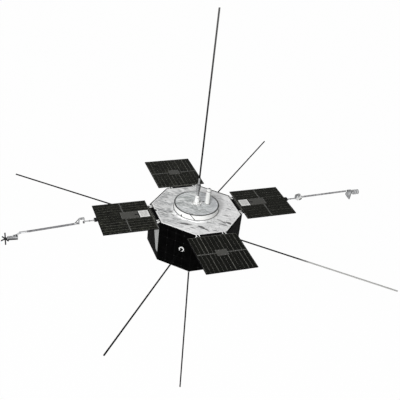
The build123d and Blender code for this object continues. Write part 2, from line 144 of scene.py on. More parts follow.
def makeFloor():
    # pale floor that keeps the shadow; from below it is clear, so the underside can be looked at
    half, level = studio["floorSize"] / 2, studio["floorLevel"]
    mesh = bpy.data.meshes.new("floor")
    mesh.from_pydata([(x * half, y * half, level) for x, y in ((-1, -1), (1, -1), (1, 1), (-1, 1))], [], [(0, 1, 2, 3)])
    floor = bpy.data.objects.new("floor", mesh)
    scene.collection.objects.link(floor)
    material = bpy.data.materials.new("paleStudioFloor")
    tree = emptyTree(material)
    share = addNode(tree, "Math", {"operation": "MULTIPLY", 0: straightRays(tree), 1: studio["whiteShare"]})
    matte = addNode(tree, "BsdfDiffuse", {"Color": studio["floorColour"]})
    glow = addNode(tree, "Emission", {"Color": "#ffffff", "Strength": 1.0})
    top = addNode(tree, "MixShader", {0: share, 1: matte, 2: glow})
    below = addNode(tree, "NewGeometry").outputs["Backfacing"]
    both = addNode(tree, "MixShader", {0: below, 1: top, 2: addNode(tree, "BsdfTransparent")})
    addNode(tree, "OutputMaterial", {"Surface": both})
    mesh.materials.append(material)


def makeLamp(azimuth):
    # round soft lamp, on the line from its aim at the azimuth and elevation
    lamp = bpy.data.lights.new("softLamp", "AREA")
    lamp.shape, lamp.size, lamp.energy = "DISK", studio["lampSize"], studio["lampPower"]
    elevation = math.radians(studio["lampElevation"])
    away = Vector((math.cos(azimuth) * math.cos(elevation), math.sin(azimuth) * math.cos(elevation),
                   math.sin(elevation)))
    holder = bpy.data.objects.new("softLamp", lamp)
    holder.location = Vector(studio["lampAim"]) + away * studio["lampReach"]
    holder.rotation_euler = away.to_track_quat("Z", "Y").to_euler()
    scene.collection.objects.link(holder)


makeCamera()
makeWorld(math.radians(studio["lampAzimuth"]))
makeFloor()
makeLamp(math.radians(studio["lampAzimuth"]))
print("camera and studio ready")


# four-cornered faces (i, j), (i, j+1), (i+1, j+1), (i+1, j) of a grid whose rows or columns may close on themselves
def gridFaces(rows, cols, wrapRows, wrapCols):
    i, j = np.meshgrid(np.arange(rows - (not wrapRows)), np.arange(cols - (not wrapCols)), indexing="ij")
    nextI, nextJ = (i + 1) % rows, (j + 1) % cols
    return np.stack([i * cols + j, i * cols + nextJ, nextI * cols + nextJ, nextI * cols + j], -1).reshape(-1, 4)


# a bit of a piece: points, blocks of faces with the same count of corners, and the name of its stock material
def bit(points, faces, material, uv=None, tone=None):
    points = np.asarray(points, float).reshape(-1, 3)
    return {"points": points, "faces": faces, "material": material,
            "uv": np.zeros((len(points), 2)) if uv is None else np.asarray(uv, float).reshape(-1, 2),
            "tone": np.zeros(len(points)) if tone is None else np.asarray(tone, float).reshape(-1)}


# skin over rings of points, one ring after another, with a flat cap on each open end
def loft(rings, material, caps=(True, True), wrap=False):
    rings = np.asarray(rings, float)
    rows, cols = rings.shape[:2]
    faces = [gridFaces(rows, cols, wrap, True)]
    if caps[0] and not wrap:
        faces.append(np.arange(cols)[None, ::-1])
    if caps[1] and not wrap:
        faces.append(np.arange((rows - 1) * cols, rows * cols)[None])
    return bit(rings, faces, material)


# points round Z: (r cos a, r sin a, h)
def polar(radius, angle, height):
    return np.stack(np.broadcast_arrays(radius * np.cos(angle), radius * np.sin(angle), height), -1)


# turned shape: every (radius, height) of the profile goes round Z in even steps
def turn(profile, sides, material, caps=(True, True), wrap=False):
    radius, height = np.asarray(profile, float).T[..., None]
    return loft(polar(radius, np.arange(sides) * 2 * math.pi / sides, height), material, caps, wrap)


# turned shape round something, so its ends stay open
def collar(profile, sides, material):
    return turn(profile, sides, material, (False, False))


# hoop round something, half above and half below its level; its edges slope from the inner to the outer radius
def hoop(level, inner, outer, half, sides, material, slope=0.001):
    return collar([(inner, level - half), (outer, level - half + slope), (outer, level + half - slope),
                   (inner, level + half)], sides, material)


# rounded rectangle: a quarter circle about each corner's centre, in turn
def roundedOutline(width, length, corner, steps=3):
    angle = (np.arange(4)[:, None] + np.linspace(0, 1, steps)) * math.pi / 2
    across = (width / 2 - corner) * np.array([1, -1, -1, 1])[:, None] + corner * np.cos(angle)
    along = (length / 2 - corner) * np.array([1, 1, -1, -1])[:, None] + corner * np.sin(angle)
    return np.stack([across, along], -1).reshape(-1, 2)


# flat block with rounded corners and an eased edge: the outline, drawn in by the ease at both faces
def block(width, length, height, corner, ease, material, steps=3):
    inner = roundedOutline(width - 2 * ease, length - 2 * ease, max(corner - ease, 0.0002), steps)
    outer = roundedOutline(width, length, corner, steps)
    levels = ((inner, 0), (outer, ease), (outer, height - ease), (inner, height))
    return loft([np.column_stack([shape, np.full(len(shape), level)]) for shape, level in levels], material)


# tube: at each point of the path a circle across the path's own direction, its start turned to the reference
def tube(path, radius, sides, material, reference=(0, 0, 1), wrap=False):
    path = np.asarray(path, float)
    run = np.roll(path, -1, 0) - np.roll(path, 1, 0) if wrap else np.gradient(path, axis=0)
    run /= np.linalg.norm(run, axis=1)[:, None]
    first = np.cross(np.asarray(reference, float), run)
    first /= np.linalg.norm(first, axis=1)[:, None]
    second = np.cross(run, first)
    angle = (np.arange(sides) * 2 * math.pi / sides)[None, :, None]
    rings = path[:, None] + radius * (np.cos(angle) * first[:, None] + np.sin(angle) * second[:, None])
    return loft(rings, material, wrap=wrap)


# domed head with a sunk socket: the profile rises, crosses the rim and drops into the middle
def screwHead(radius, height, material="steel", sides=12):
    shares = ((1, 0), (1, 0.55), (0.8, 1), (0.45, 1), (0.4, 0.5), (0.05, 0.45))
    return turn([(radius * r, height * h) for r, h in shares], sides, material)


# six-sided nut: straight up, eased at the top, open in the middle down to a third of its radius
def hexNut(radius, height, material="steel"):
    return turn([(radius, 0), (radius, height * 0.8), (radius * 0.9, height), (radius * 0.3, height)], 6, material)


# the same bit, put in each of the places
def copies(shape, places):
    moves = np.array([np.array(m) for m in places], float)
    count, size = len(moves), len(shape["points"])
    solid = np.column_stack([shape["points"], np.ones(size)])
    points = np.einsum("mij,nj->mni", moves, solid)[..., :3]
    step = (np.arange(count) * size)[:, None, None]
    faces = [(ring[None] + step).reshape(-1, ring.shape[1]) for ring in shape["faces"]]
    return bit(points, faces, shape["material"], np.tile(shape["uv"], (count, 1)), np.tile(shape["tone"], count))


# several bits, all moved by one place
def moved(shapes, place):
    return [copies(shape, [place]) for shape in shapes]


# place at a point, turned about X, then Y, then Z first
def at(x, y, z, turnZ=0.0, turnY=0.0, turnX=0.0):
    return (Matrix.Translation((x, y, z)) @ Matrix.Rotation(math.radians(turnZ), 4, "Z")
            @ Matrix.Rotation(math.radians(turnY), 4, "Y") @ Matrix.Rotation(math.radians(turnX), 4, "X"))


# the same bit, put at one point and turned
def placed(shape, *where, **turns):
    return copies(shape, [at(*where, **turns)])


# place whose Z axis looks along the direction
def facing(point, direction):
    return Matrix.Translation(point) @ Vector(direction).to_track_quat("Z", "Y").to_matrix().to_4x4()


# turn about the Z axis through the origin, in degrees
def about(azimuth):
    return Matrix.Rotation(math.radians(azimuth), 4, "Z")


# even spots on a circle round Z: x, y and the angle in degrees
def circle(count, radius, first=0.0):
    angles = [first + 360 * k / count for k in range(count)]
    return [(radius * math.cos(math.radians(a)), radius * math.sin(math.radians(a)), a) for a in angles]


# joins bits into one object that rides on a body; closed bits get their faces turned outwards
def makePiece(name, bits, body, replaced=(), closed=True, crease=38):
    names = list(dict.fromkeys(b["material"] for b in bits))
    points = np.concatenate([b["points"] for b in bits])
    faces, slots, base = [], [], 0
    for b in bits:
        for ring in b["faces"]:
            faces += (ring + base).tolist()
            slots += [names.index(b["material"])] * len(ring)
        base += len(b["points"])
    mesh = bpy.data.meshes.new(name)
    mesh.from_pydata(points.tolist(), [], faces)
    mesh.polygons.foreach_set("material_index", np.array(slots, np.int32))
    mesh.polygons.foreach_set("use_smooth", np.ones(len(faces), bool))
    corner = np.zeros(len(mesh.loops), np.int32)
    mesh.loops.foreach_get("vertex_index", corner)
    lay = np.concatenate([b["uv"] for b in bits])[corner].ravel()
    mesh.uv_layers.new(name="lay").data.foreach_set("uv", lay)
    tone = mesh.attributes.new("tone", "FLOAT", "POINT")
    tone.data.foreach_set("value", np.concatenate([b["tone"] for b in bits]))
    if closed:
        work = bmesh.new()
        work.from_mesh(mesh)
        bmesh.ops.recalc_face_normals(work, faces=work.faces)
        work.to_mesh(mesh)
        work.free()
    mesh.set_sharp_from_angle(angle=math.radians(crease))
    for key in names:
        mesh.materials.append(stock[key])
    piece = bpy.data.objects.new(name, mesh)
    scene.collection.objects.link(piece)
    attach(piece, body)
    if replaced:
        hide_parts(*replaced)
    return piece


# folded-film height: triangle waves along random directions, each bent by a slower wave, summed about zero
def crinkle(x, y, size, seed, folds=9, lean=0.0, spread=math.pi):
    dice = np.random.default_rng(seed)
    total = np.zeros(np.broadcast(x, y).shape)
    for _ in range(folds):
        angle = dice.uniform(-0.5, 0.5) * spread + lean
        pitch, phase = size * dice.uniform(0.55, 1.9), dice.uniform(0, 6.28, 3)
        u, v = x * math.cos(angle) + y * math.sin(angle), y * math.cos(angle) - x * math.sin(angle)
        wave = u / pitch + 0.35 * np.sin(v / pitch * 1.7 + phase[0]) + phase[1]
        gate = 0.5 + 0.5 * np.sin(v / pitch * 0.9 + u / pitch * 0.53 + phase[2])
        total += (np.abs(wave % 2 - 1) - 0.5) * gate
    return total / math.sqrt(folds)


# 0 below low, 1 above high, and the 3t2 - 2t3 curve between
def ease(value, low, high):
    t = np.clip((value - low) / (high - low), 0, 1)
    return t * t * (3 - 2 * t)


# base of every finish: a noise of the grain's size (metres) spreads the colour over the ramp, a finer one works
# gloss and relief
def finish(name, ramp, grain, rough, metallic=0.0, relief=0.0001, stretch=(1, 1, 1), fine=0.15, shine=0.3, lean=0.0):
    material = bpy.data.materials.new(name)
    tree = emptyTree(material)
    place = addNode(tree, "TexCoord").outputs["Object"]
    mapped = addNode(tree, "Mapping", {"vector_type": "TEXTURE", "Vector": place, "Rotation": (0, 0, lean),
                                       "Scale": stretch})
    broad = addNode(tree, "TexNoise", {"Vector": mapped, "Scale": 1 / grain, "Detail": 5.0, "Roughness": 0.6})
    small = addNode(tree, "TexNoise", {"Vector": mapped, "Scale": 1 / (grain * fine), "Detail": 3.0})
    gloss = addNode(tree, "MapRange", {"Value": small, "From Min": 0.3, "From Max": 0.7, "To Min": rough[0],
                                       "To Max": rough[1]})
    shader = addNode(tree, "BsdfPrincipled", {
        "Base Color": addNode(tree, "ValToRGB", {"Fac": broad, "stops": ramp}), "Metallic": metallic,
        "Roughness": gloss, "Specular IOR Level": shine,
        "Normal": addNode(tree, "Bump", {"Height": small, "Strength": 1.0, "Distance": relief})})
    addNode(tree, "OutputMaterial", {"Surface": shader})
    return {"material": material, "tree": tree, "place": place, "mapped": mapped, "broad": broad, "shader": shader}


# lays a second colour over what feeds the shader, where the product of the masks is 1
def overlay(made, colour, *masks):
    tree, base = made["tree"], made["shader"].inputs["Base Color"]
    product = masks[0]
    for factor in masks[1:]:
        product = addNode(tree, "Math", {"operation": "MULTIPLY", 0: product, 1: factor})
    mixed = addNode(tree, "Mix", {"data_type": "RGBA", 0: product, 6: base.links[0].from_socket, 7: colour})
    tree.links.new(mixed.outputs[2], base)


# turns a value into a 0 to 1 mask between two levels
def maskBetween(tree, value, low, high):
    return addNode(tree, "MapRange", {"interpolation_type": "SMOOTHSTEP", "Value": value, "From Min": low,
                                      "From Max": high})


# the coordinate along one of the object's axes
def coordinate(made, axis):
    return addNode(made["tree"], "SeparateXYZ", {0: made["place"]}).outputs[axis]


# a second colour comes in between two places along an axis
def colourAlong(made, axis, near, far, most, colour):
    overlay(made, colour, maskBetween(made["tree"], coordinate(made, axis), near, far), most)


# the streaks' lean and their size along and across it, then how strongly each overlay shows and in what colour; the
# overlays are painted reflections, shade and highlights
foilLook = {"lean": math.radians(-34), "streak": (0.30, 0.075, 0.2), "facetSizes": ((2.1, "#8d8f91"), (4.3, "#fbfbfb")),
            "facetShare": 0.6, "creaseShadeShare": 0.6, "foldShadeColour": "#1d1e1f", "rimHighlightColour": "#f0f0ef",
            "shadeSideColour": "#6f7172", "shadeSideShare": 0.22}


# aluminised polyester film, crumpled and smoothed by hand, with its light and shade painted into the colour: broken
# silver streaks along one lean and flat facets between them as painted reflections, dark sharp creases as painted
# shade, painted shade on the side towards -X, painted light towards +X and -Y, and a painted highlight on the rim
def crinkledFoil(name, ramp, creaseShadeColour, paleLightColour, paleLightShare):
    made = finish(name, ramp, 1.0, (0.56, 0.68), metallic=0.25, relief=0.0015, stretch=foilLook["streak"], fine=0.3,
                  lean=foilLook["lean"])
    tree, place, mapped = made["tree"], made["place"], made["mapped"]
    made["broad"].inputs["Distortion"].default_value = 1.6
    smoothed = addNode(tree, "TexNoise", {"Vector": place, "Scale": 3.2, "Detail": 2.0, "Distortion": 0.8})
    # painted light: pale patches on the smoother film
    overlay(made, paleLightColour, maskBetween(tree, smoothed, 0.44, 0.60), paleLightShare)
    # painted shade on the side towards -X
    colourAlong(made, 0, -0.35, -0.75, foilLook["shadeSideShare"], foilLook["shadeSideColour"])
    bend = addNode(tree, "TexNoise", {"Vector": mapped, "Scale": 0.9, "Detail": 2.0})
    offset = addNode(tree, "VectorMath", {"operation": "SCALE", 0: bend.outputs["Color"], "Scale": 0.9})
    bent = addNode(tree, "VectorMath", {"operation": "ADD", 0: mapped, 1: offset})
    # painted reflections: facets of the crumpled film, each a random grey
    for size, light in foilLook["facetSizes"]:
        facets = addNode(tree, "TexVoronoi", {"feature": "F1", "Vector": bent, "Scale": size})
        pick = addNode(tree, "SeparateColor", {0: facets.outputs["Color"]})
        overlay(made, light, maskBetween(tree, pick, 0.45, 0.95), foilLook["facetShare"])
    # painted light on the sides towards +X and -Y
    colourAlong(made, 0, -0.1, 0.75, 0.80, paleLightColour)
    colourAlong(made, 1, 0.1, -0.85, 0.50, paleLightColour)
    # the creases' painted shade runs where the wide noise, leant towards +X and -Y, is high
    cells = addNode(tree, "TexVoronoi", {"feature": "DISTANCE_TO_EDGE", "Vector": bent, "Scale": 2.1})
    wide = addNode(tree, "TexNoise", {"Vector": place, "Scale": 5.5, "Detail": 1.0})
    handled = wide
    for axis, share in ((0, 0.07), (1, -0.10)):
        handled = addNode(tree, "Math", {"operation": "MULTIPLY_ADD", 0: coordinate(made, axis), 1: share, 2: handled})
    overlay(made, creaseShadeColour, maskBetween(tree, cells.outputs["Distance"], 0.07, 0.0),
            maskBetween(tree, handled, 0.53, 0.60), foilLook["creaseShadeShare"])
    # the tone is above 0 on the rim, where a highlight is painted, and below 0 in a fold, where shade is painted; the
    # folds' painted shade goes dark along the foil's own streaks
    tone = addNode(tree, "Attribute", {"attribute_name": "tone"}).outputs["Fac"]
    overlay(made, foilLook["rimHighlightColour"], tone)
    streak = addNode(tree, "MapRange", {"Value": made["broad"], "From Min": 0.64, "From Max": 0.46, "To Min": 0.45,
                                        "To Max": 1.0})
    overlay(made, foilLook["foldShadeColour"], maskBetween(tree, tone, 0.0, -0.8), streak)
    return made


# lines across a cell: axis, count, width as a share of their spacing, colour; real fingers are 1.5 mm apart, drawn
# at 5 mm to show
cellLook = {"fingers": (0, 15, 0.10, "#1f201c"), "bars": (1, 2, 0.05, "#2f302b"), "paler": "#3a3b32"}


# cover-glassed solar cell: near-black olive wafer, fine silver fingers and two bus bars, each cell a shade apart
def solarCell():
    made = finish("coverGlassedCell", [(0.35, "#060705"), (0.5, "#0b0c09"), (0.65, "#11120e")], 0.16, (0.2, 0.3),
                  relief=0.00002, shine=0.02)
    tree = made["tree"]
    split = addNode(tree, "SeparateXYZ", {0: addNode(tree, "UVMap", {"uv_map": "lay"})})
    overlay(made, cellLook["paler"], addNode(tree, "Attribute", {"attribute_name": "tone"}).outputs["Fac"])
    for axis, count, width, colour in (cellLook["fingers"], cellLook["bars"]):
        # distance from the middle of each of the count's parts
        size = split.outputs[axis]
        for step in ({"operation": "MULTIPLY", 1: float(count)}, {"operation": "FRACT"},
                     {"operation": "SUBTRACT", 1: 0.5}, {"operation": "ABSOLUTE"}):
            size = addNode(tree, "Math", {**step, 0: size})
        overlay(made, colour, maskBetween(tree, size, width, width * 0.5))
    return made["material"]


# woven carbon laminate, resin-rich: black twill squares that take the light in turn
def carbonBoard():
    made = finish("carbonLaminate", [(0.3, "#060607"), (0.7, "#0c0c0d")], 0.2, (0.42, 0.55), relief=0.00005,
                  shine=0.015)
    tows = addNode(made["tree"], "TexChecker", {"Vector": made["place"], "Color1": "#070708", "Color2": "#101012",
                                                "Scale": 1 / 0.012})
    overlay(made, tows, 0.6)
    return made["material"]


# white thermal paint on aluminium: matte, faintly clouded; the mating face beyond the level is bare dark anodising,
# lighter along one arc
def paintedRing(name, level):
    made = finish(name, [(0.3, "#e2e3e2"), (0.7, "#eeeeec")], 0.14, (0.42, 0.55), relief=0.00006)
    tree = made["tree"]
    inner = -0.0008 if level > midLevel else 0.0008
    face = maskBetween(tree, coordinate(made, 2), level + inner * 1.5, level + inner)
    overlay(made, "#3c3e3e", face)
    # the mating face is lighter along the arc towards +X and +Y
    back = addNode(tree, "VectorMath", {"operation": "DOT_PRODUCT", 0: made["place"], 1: (0.5, 0.87, 0.0)})
    lighterArc = addNode(tree, "Math", {"operation": "MULTIPLY", 0: maskBetween(tree, back.outputs["Value"], 0.31, 0.41),
                                    1: 0.75})
    overlay(made, "#b4b6b6", face, lighterArc)
    return made["material"]


# black-coated blanket film over soft layers: dull black, a little paler where it is crushed or stitched
def blackBlanket():
    made = finish("blackBlanketFilm", [(0.35, "#010101"), (0.5, "#030303"), (0.65, "#060606")], 0.12, (0.45, 0.6),
                  relief=0.0008, fine=0.2, shine=0.006)
    tree = made["tree"]
    cells = addNode(tree, "TexVoronoi", {"feature": "DISTANCE_TO_EDGE", "Vector": made["place"], "Scale": 1 / 0.05})
    overlay(made, "#080808", maskBetween(tree, cells.outputs["Distance"], 0.05, 0.0))
    overlay(made, "#0b0b0b", addNode(tree, "Attribute", {"attribute_name": "tone"}).outputs["Fac"])
    return made["material"]


# pale plate that stands in for a patch of sunlight on the wall, painted light, drawn as second-surface mirror tiles
# bonded edge to edge: pale, each a shade apart, in a dark fine grid of 40 mm squares
def paintedLitPatch():
    made = finish("paintedLitPatch", [(0.35, "#7c7f7f"), (0.65, "#929594")], 0.12, (0.24, 0.34), metallic=0.3,
                  relief=0.00003)
    flat = addNode(made["tree"], "CombineXYZ", {0: coordinate(made, 1), 1: coordinate(made, 2)})
    tiles = addNode(made["tree"], "TexBrick", {
        "Vector": flat, "offset": 0.0, "Color1": "#7d8080", "Color2": "#979998", "Mortar": "#46494a", "Scale": 1.0,
        "Brick Width": 0.04, "Row Height": 0.04, "Mortar Size": 0.0012})
    overlay(made, tiles, 0.75)
    return made["material"]


# spring-metal strip rolled into a tube: dark steel with the long seam winding slowly round it, one turn every 0.24 m,
# paler towards the upper tip; the lean is how far the rod's middle drifts along X for each metre up
def rolledRod(name, lean):
    made = finish(name, [(0.3, "#070707"), (0.7, "#0f0f0e")], 0.05, (0.4, 0.52), metallic=0.2, relief=0.00004,
                  stretch=(1, 1, 5), shine=0.05)
    tree = made["tree"]
    x, y, z = (coordinate(made, axis) for axis in range(3))
    drift = addNode(tree, "Math", {"operation": "MULTIPLY", 0: z, 1: lean})
    across = addNode(tree, "Math", {"operation": "SUBTRACT", 0: x, 1: drift})
    way = addNode(tree, "Math", {"operation": "ARCTAN2", 0: y, 1: across})
    share = addNode(tree, "Math", {"operation": "MULTIPLY", 0: way, 1: 1 / (2 * math.pi)})
    rise = addNode(tree, "Math", {"operation": "MULTIPLY_ADD", 0: z, 1: 1 / 0.24, 2: share})
    wound = addNode(tree, "Math", {"operation": "FRACT", 0: rise})
    overlay(made, "#040404", maskBetween(tree, wound, 0.10, 0.03))
    # paler towards the upper tip
    colourAlong(made, 2, 2.6, 5.6, 0.65, "#5f5f5e")
    return made["material"]


# stranded wire under a thin dark jacket: the strands show as a close diagonal lay; past a place along X the jacket
# ends, strand by strand, and they are bare and pale
def strandedWire(name, bareFrom=None):
    made = finish(name, [(0.3, "#040404"), (0.7, "#0a0a0a")], 0.04, (0.5, 0.62), relief=0.0001, shine=0.02)
    tree = made["tree"]
    lay = addNode(tree, "TexWave", {"wave_type": "BANDS", "bands_direction": "DIAGONAL", "Vector": made["place"],
                                    "Scale": 1 / 0.03, "Distortion": 0.4}).outputs["Fac"]
    raised = maskBetween(tree, lay, 0.5, 0.95)
    overlay(made, "#121212", raised)
    if bareFrom:
        along = addNode(tree, "Math", {"operation": "MULTIPLY_ADD", 0: lay, 1: 0.14, 2: coordinate(made, 0)})
        bare = maskBetween(tree, along, bareFrom, bareFrom + 0.10)
        overlay(made, "#b0b0ae", bare)
        overlay(made, "#989896", bare, raised)
    return made["material"]


# carbon tube under a grey surface film, wound in a slow spiral: light bands with a soft dark edge
def woundTube(name, *colours):
    made = finish(name, list(zip((0.3, 0.55, 0.8), colours)), 0.07, (0.36, 0.5), metallic=0.15, stretch=(3, 1, 1))
    lay = addNode(made["tree"], "TexWave", {"wave_type": "BANDS", "bands_direction": "X", "Vector": made["place"],
                                            "Scale": 3.6, "Distortion": 1.2, "Detail": 2.0})
    overlay(made, "#6a6a6b", maskBetween(made["tree"], lay.outputs["Fac"], 0.82, 1.0))
    return made["material"]


# coated metal with painted shade on one side: past a place along X it goes over to the darker colour
def shadedOnOneSide(name, ramp, grain, rough, near, far, most, colour, **more):
    made = finish(name, ramp, grain, rough, **more)
    colourAlong(made, 0, near, far, most, colour)
    return made["material"]


# white closed-cell foam pad: matte, pale, with sparse grey specks from handling
def foamPad():
    made = finish("whiteFoamPad", [(0.36, "#c6c6c3"), (0.5, "#dadad7"), (0.64, "#e8e8e5")], 0.035, (0.6, 0.75),
                  relief=0.0002, shine=0.2)
    specks = addNode(made["tree"], "TexVoronoi", {"feature": "F1", "Vector": made["place"], "Scale": 1 / 0.018})
    overlay(made, "#b3b4b2", maskBetween(made["tree"], specks.outputs["Distance"], 0.2, 0.1))
    return made["material"]


# aluminised film pulled smooth over the lid: greyer, with softer streaks, cooler towards +X
def smoothedFoil():
    ramp = [(0.36, "#848987"), (0.46, "#b2b7b5"), (0.53, "#cdd1d0"), (0.61, "#ebedec")]
    # the crease colour is painted shade and the pale colour painted light, as on the deck foil
    made = crinkledFoil("smoothedGreyFoil", ramp, "#6d7171", "#d9dcde", 0.4)
    colourAlong(made, 0, -0.1, 0.45, 0.22, "#c4c6ce")
    return made["material"]


stock = {
    # the foil's crease colour is painted shade and its pale colour painted light
    "foil": crinkledFoil("crinkledSilverFoil", [(0.34, "#6f7172"), (0.42, "#a4a6a6"), (0.49, "#cfd0d0"),
                                                (0.60, "#f2f2f1")], "#4b4d4e", "#f6f6f6", 0.5)["material"],
    "lidFoil": smoothedFoil(), "cell": solarCell(), "laminate": carbonBoard(), "blanket": blackBlanket(),
    "litPatch": paintedLitPatch(), "foam": foamPad(),
    "upperRing": paintedRing("paintedRingUpper", 1.2), "lowerRing": paintedRing("paintedRingLower", 0.0),
    "upperRod": rolledRod("rolledSpringMetal", 0.0),
    "lowerRod": rolledRod("rolledSpringMetalLeaning", math.tan(math.radians(-2))),
    "wire": strandedWire("strandedWire"), "wornWire": strandedWire("strandedWireWorn", 1.86),
    "boomFilm": woundTube("filmWoundTube", "#88888a", "#a4a4a6", "#bcbcbe"),
    "darkBoomFilm": woundTube("darkFilmWoundTube", "#5c5c5f", "#747477", "#8e8e91"),
    # antenna radome, filled white resin under matte paint: warm white, faint mould clouding, painted shade on the side
    # towards +X
    "radome": shadedOnOneSide("radomeWhite", [(0.3, "#d8d9d8"), (0.7, "#e6e6e3")], 0.06, (0.45, 0.6), 0.221, 0.244, 0.55,
                       "#6c6d6c", relief=0.00006, shine=0.2),
    # coated canister: anodised drum, wiped along its length, pale grey, with painted shade on the side towards +X
    "canister": shadedOnOneSide("anodisedDrumShadedSide", [(0.35, "#8c8d8e"), (0.5, "#9c9d9e"), (0.65, "#aeafb0")], 0.06,
                         (0.34, 0.48), -0.012, 0.016, 0.9, "#262626", stretch=(1, 1, 3), shine=0.12)}


# key, then the material's name, its darkest to lightest colours, grain in metres, roughness, and what else finish
# is told
plainFinishes = {
    # anodised deck plate, machined flat: dark grey, fine directional milling
    "deck": ("anodisedDeck", ("#0b0b0c", "#141415"), 0.2, (0.4, 0.5), {"shine": 0.1, "stretch": (1, 0.16, 1)}),
    # closed-in equipment, chromate-coated aluminium sheet: dull yellow-grey
    "box": ("chromateSheet", ("#6b6a5c", "#7d7b6a"), 0.15, (0.45, 0.6), {"metallic": 0.4}),
    # milled aluminium, clear conversion coat: pale grey, soft highlights, faint tool marks
    "milled": ("milledAluminium", ("#b3b4b5", "#d2d3d3"), 0.03, (0.28, 0.42),
               {"metallic": 0.7, "relief": 0.00004, "stretch": (1, 1, 0.2)}),
    # white thermal paint, sprayed: matte white with the faintest cloud and orange-peel
    "white": ("whiteThermalPaint", ("#e4e5e4", "#f0f0ee"), 0.08, (0.45, 0.6), {"relief": 0.00008}),
    # hinge forks, painted white over milled metal, slightly dirty at the seats
    "hinge": ("whitePaintedFork", ("#e8e9e7", "#f6f6f4"), 0.02, (0.4, 0.55), {"relief": 0.00005}),
    # black hard anodising: near black, satin, fine grain
    "black": ("blackHardAnodised", ("#0a0a0b", "#131314"), 0.03, (0.4, 0.52), {"relief": 0.00003, "shine": 0.12}),
    # the same on the panels' root bars, duller from handling
    "root": ("rootBarAnodised", ("#050505", "#0c0b0c"), 0.05, (0.4, 0.52), {"relief": 0.00003, "shine": 0.015}),
    # grey moulded cover sheet: flat mid grey with a slight fibre mottle
    "cover": ("greyFibreCover", ("#40403d", "#50504c"), 0.03, (0.5, 0.62), {"relief": 0.00006, "shine": 0.15}),
    # turned aluminium nozzle, bare: pale grey with rings left by the lathe
    "nozzle": ("turnedAluminium", ("#8f9091", "#b2b3b4"), 0.02, (0.3, 0.42),
               {"metallic": 0.4, "stretch": (1, 1, 0.16)}),
    # sensor cases: grey conductive paint, thin, with the metal's cloud showing through
    "sensor": ("greyConductivePaint", ("#8a8b8d", "#a2a3a5", "#bcbdbe"), 0.04, (0.4, 0.55), {"metallic": 0.2}),
    # instrument covers, white thermal paint thinned by handling: pale grey, satin
    "drum": ("paleInstrumentPaint", ("#b8b9bb", "#cdcecf", "#e0e1e1"), 0.05, (0.4, 0.55), {}),
    # coil windings under black tape: dull, slightly lifted where the tape overlaps
    "coil": ("tapedWinding", ("#181819", "#272729"), 0.02, (0.5, 0.65), {"relief": 0.0003, "shine": 0.2}),
    # left arm and knuckle, titanium under thin grey paint: pale grey, soft sheen, fine drawn grain
    "paleArm": ("paintedTitanium", ("#929394", "#acadad"), 0.03, (0.35, 0.5),
                {"metallic": 0.2, "relief": 0.00004, "stretch": (3, 1, 1)}),
    # right arm and knuckle, titanium left bare: mid grey, soft sheen, fine drawn grain
    "arm": ("bareTitanium", ("#77787a", "#8f9092"), 0.03, (0.35, 0.5),
            {"metallic": 0.3, "relief": 0.00004, "stretch": (3, 1, 1)}),
    # passivated steel screws and pins: mid grey, bright on the chamfer
    "steel": ("passivatedSteel", ("#9b9c9c", "#c2c3c3"), 0.01, (0.25, 0.4), {"metallic": 0.9, "relief": 0.00002}),
    # blackened steel fasteners and tape edges: near black, dull
    "darkSteel": ("blackenedSteel", ("#131313", "#202020"), 0.01, (0.4, 0.55),
                  {"metallic": 0.2, "relief": 0.00002, "shine": 0.15}),
    # tinned strip between cell strings: dull silver, slightly stained
    "tinned": ("tinnedStrip", ("#6a6a63", "#9a9a92"), 0.09, (0.35, 0.5), {"metallic": 0.3, "relief": 0.00003}),
    # harness sleeve, braided nylon over wires: black, dull
    "sleeve": ("braidedSleeve", ("#0e0e0f", "#1a1a1b"), 0.012, (0.55, 0.7), {"relief": 0.0003, "shine": 0.15}),
    # grey cloth tape round the boom: mid grey, matte
    "tape": ("greyClothTape", ("#5d5d5f", "#747476"), 0.01, (0.55, 0.7), {"shine": 0.2}),
    # darker face of the instrument cases, anodised: dark grey, satin
    "caseDark": ("darkCaseFace", ("#2a2a2b", "#3b3b3c"), 0.02, (0.45, 0.6), {"relief": 0.00006, "shine": 0.2})}
for key, (name, colours, grain, rough, more) in plainFinishes.items():
    places = (0.3, 0.7) if len(colours) == 2 else (0.3, 0.55, 0.8)
    stock[key] = finish(name, list(zip(places, colours)), grain, rough, **more)["material"]
print("materials ready:", len(bpy.data.materials))

# the radiator plate is a pale sheet that stands in for a patch of sunlight: painted light
nodeFinish = {"side_walls": "laminate", "top_deck": "deck", "bottom_deck": "deck", "equipment_block": "box",
              "wire_outlets": "white", "hinge_brackets": "hinge", "radiator_plate": "litPatch",
              "left_long_boom": "darkBoomFilm", "right_long_boom": "boomFilm", "left_sensor_case": "sensor",
              "left_sensor_coils": "coil", "right_sensor_housing": "sensor", "right_sensor_drum": "drum",
              "wire_back_right": "wire", "wire_back_left": "wire", "wire_front_left": "wire",
              "wire_front_right": "wornWire"}
for end in ends:
    nodeFinish.update({f"{end}_ring": f"{end}Ring", f"{end}_axial_rod": f"{end}Rod", f"{end}_ring_lid": "deck",
                       f"{end}_axial_foot": "white", f"{end}_axial_mast": "white", f"{end}_axial_canister": "canister",
                       f"{end}_axial_nozzle": "nozzle", f"{end}_stub_antenna": "radome"})
for side in panelTurn:
    nodeFinish.update({f"{side}_panel_root": "root", f"{side}_panel_board": "laminate", f"{side}_panel_cells": "cell",
                       f"{side}_centre_plate": "cover", f"{side}_cable_cover": "cover", f"{side}_boom_pad": "foam",
                       f"{side}_boom_bracket": "black"})
for side in boomSides:
    arm = "paleArm" if side == "left" else "arm"
    nodeFinish.update({f"{side}_stub_arm": arm, f"{side}_boom_knuckle": arm})
for nodeName, key in nodeFinish.items():
    if nodeName in nodes:
        data = nodes[nodeName].data
        if len(data.materials):
            data.materials[0] = stock[key]
        else:
            data.materials.append(stock[key])
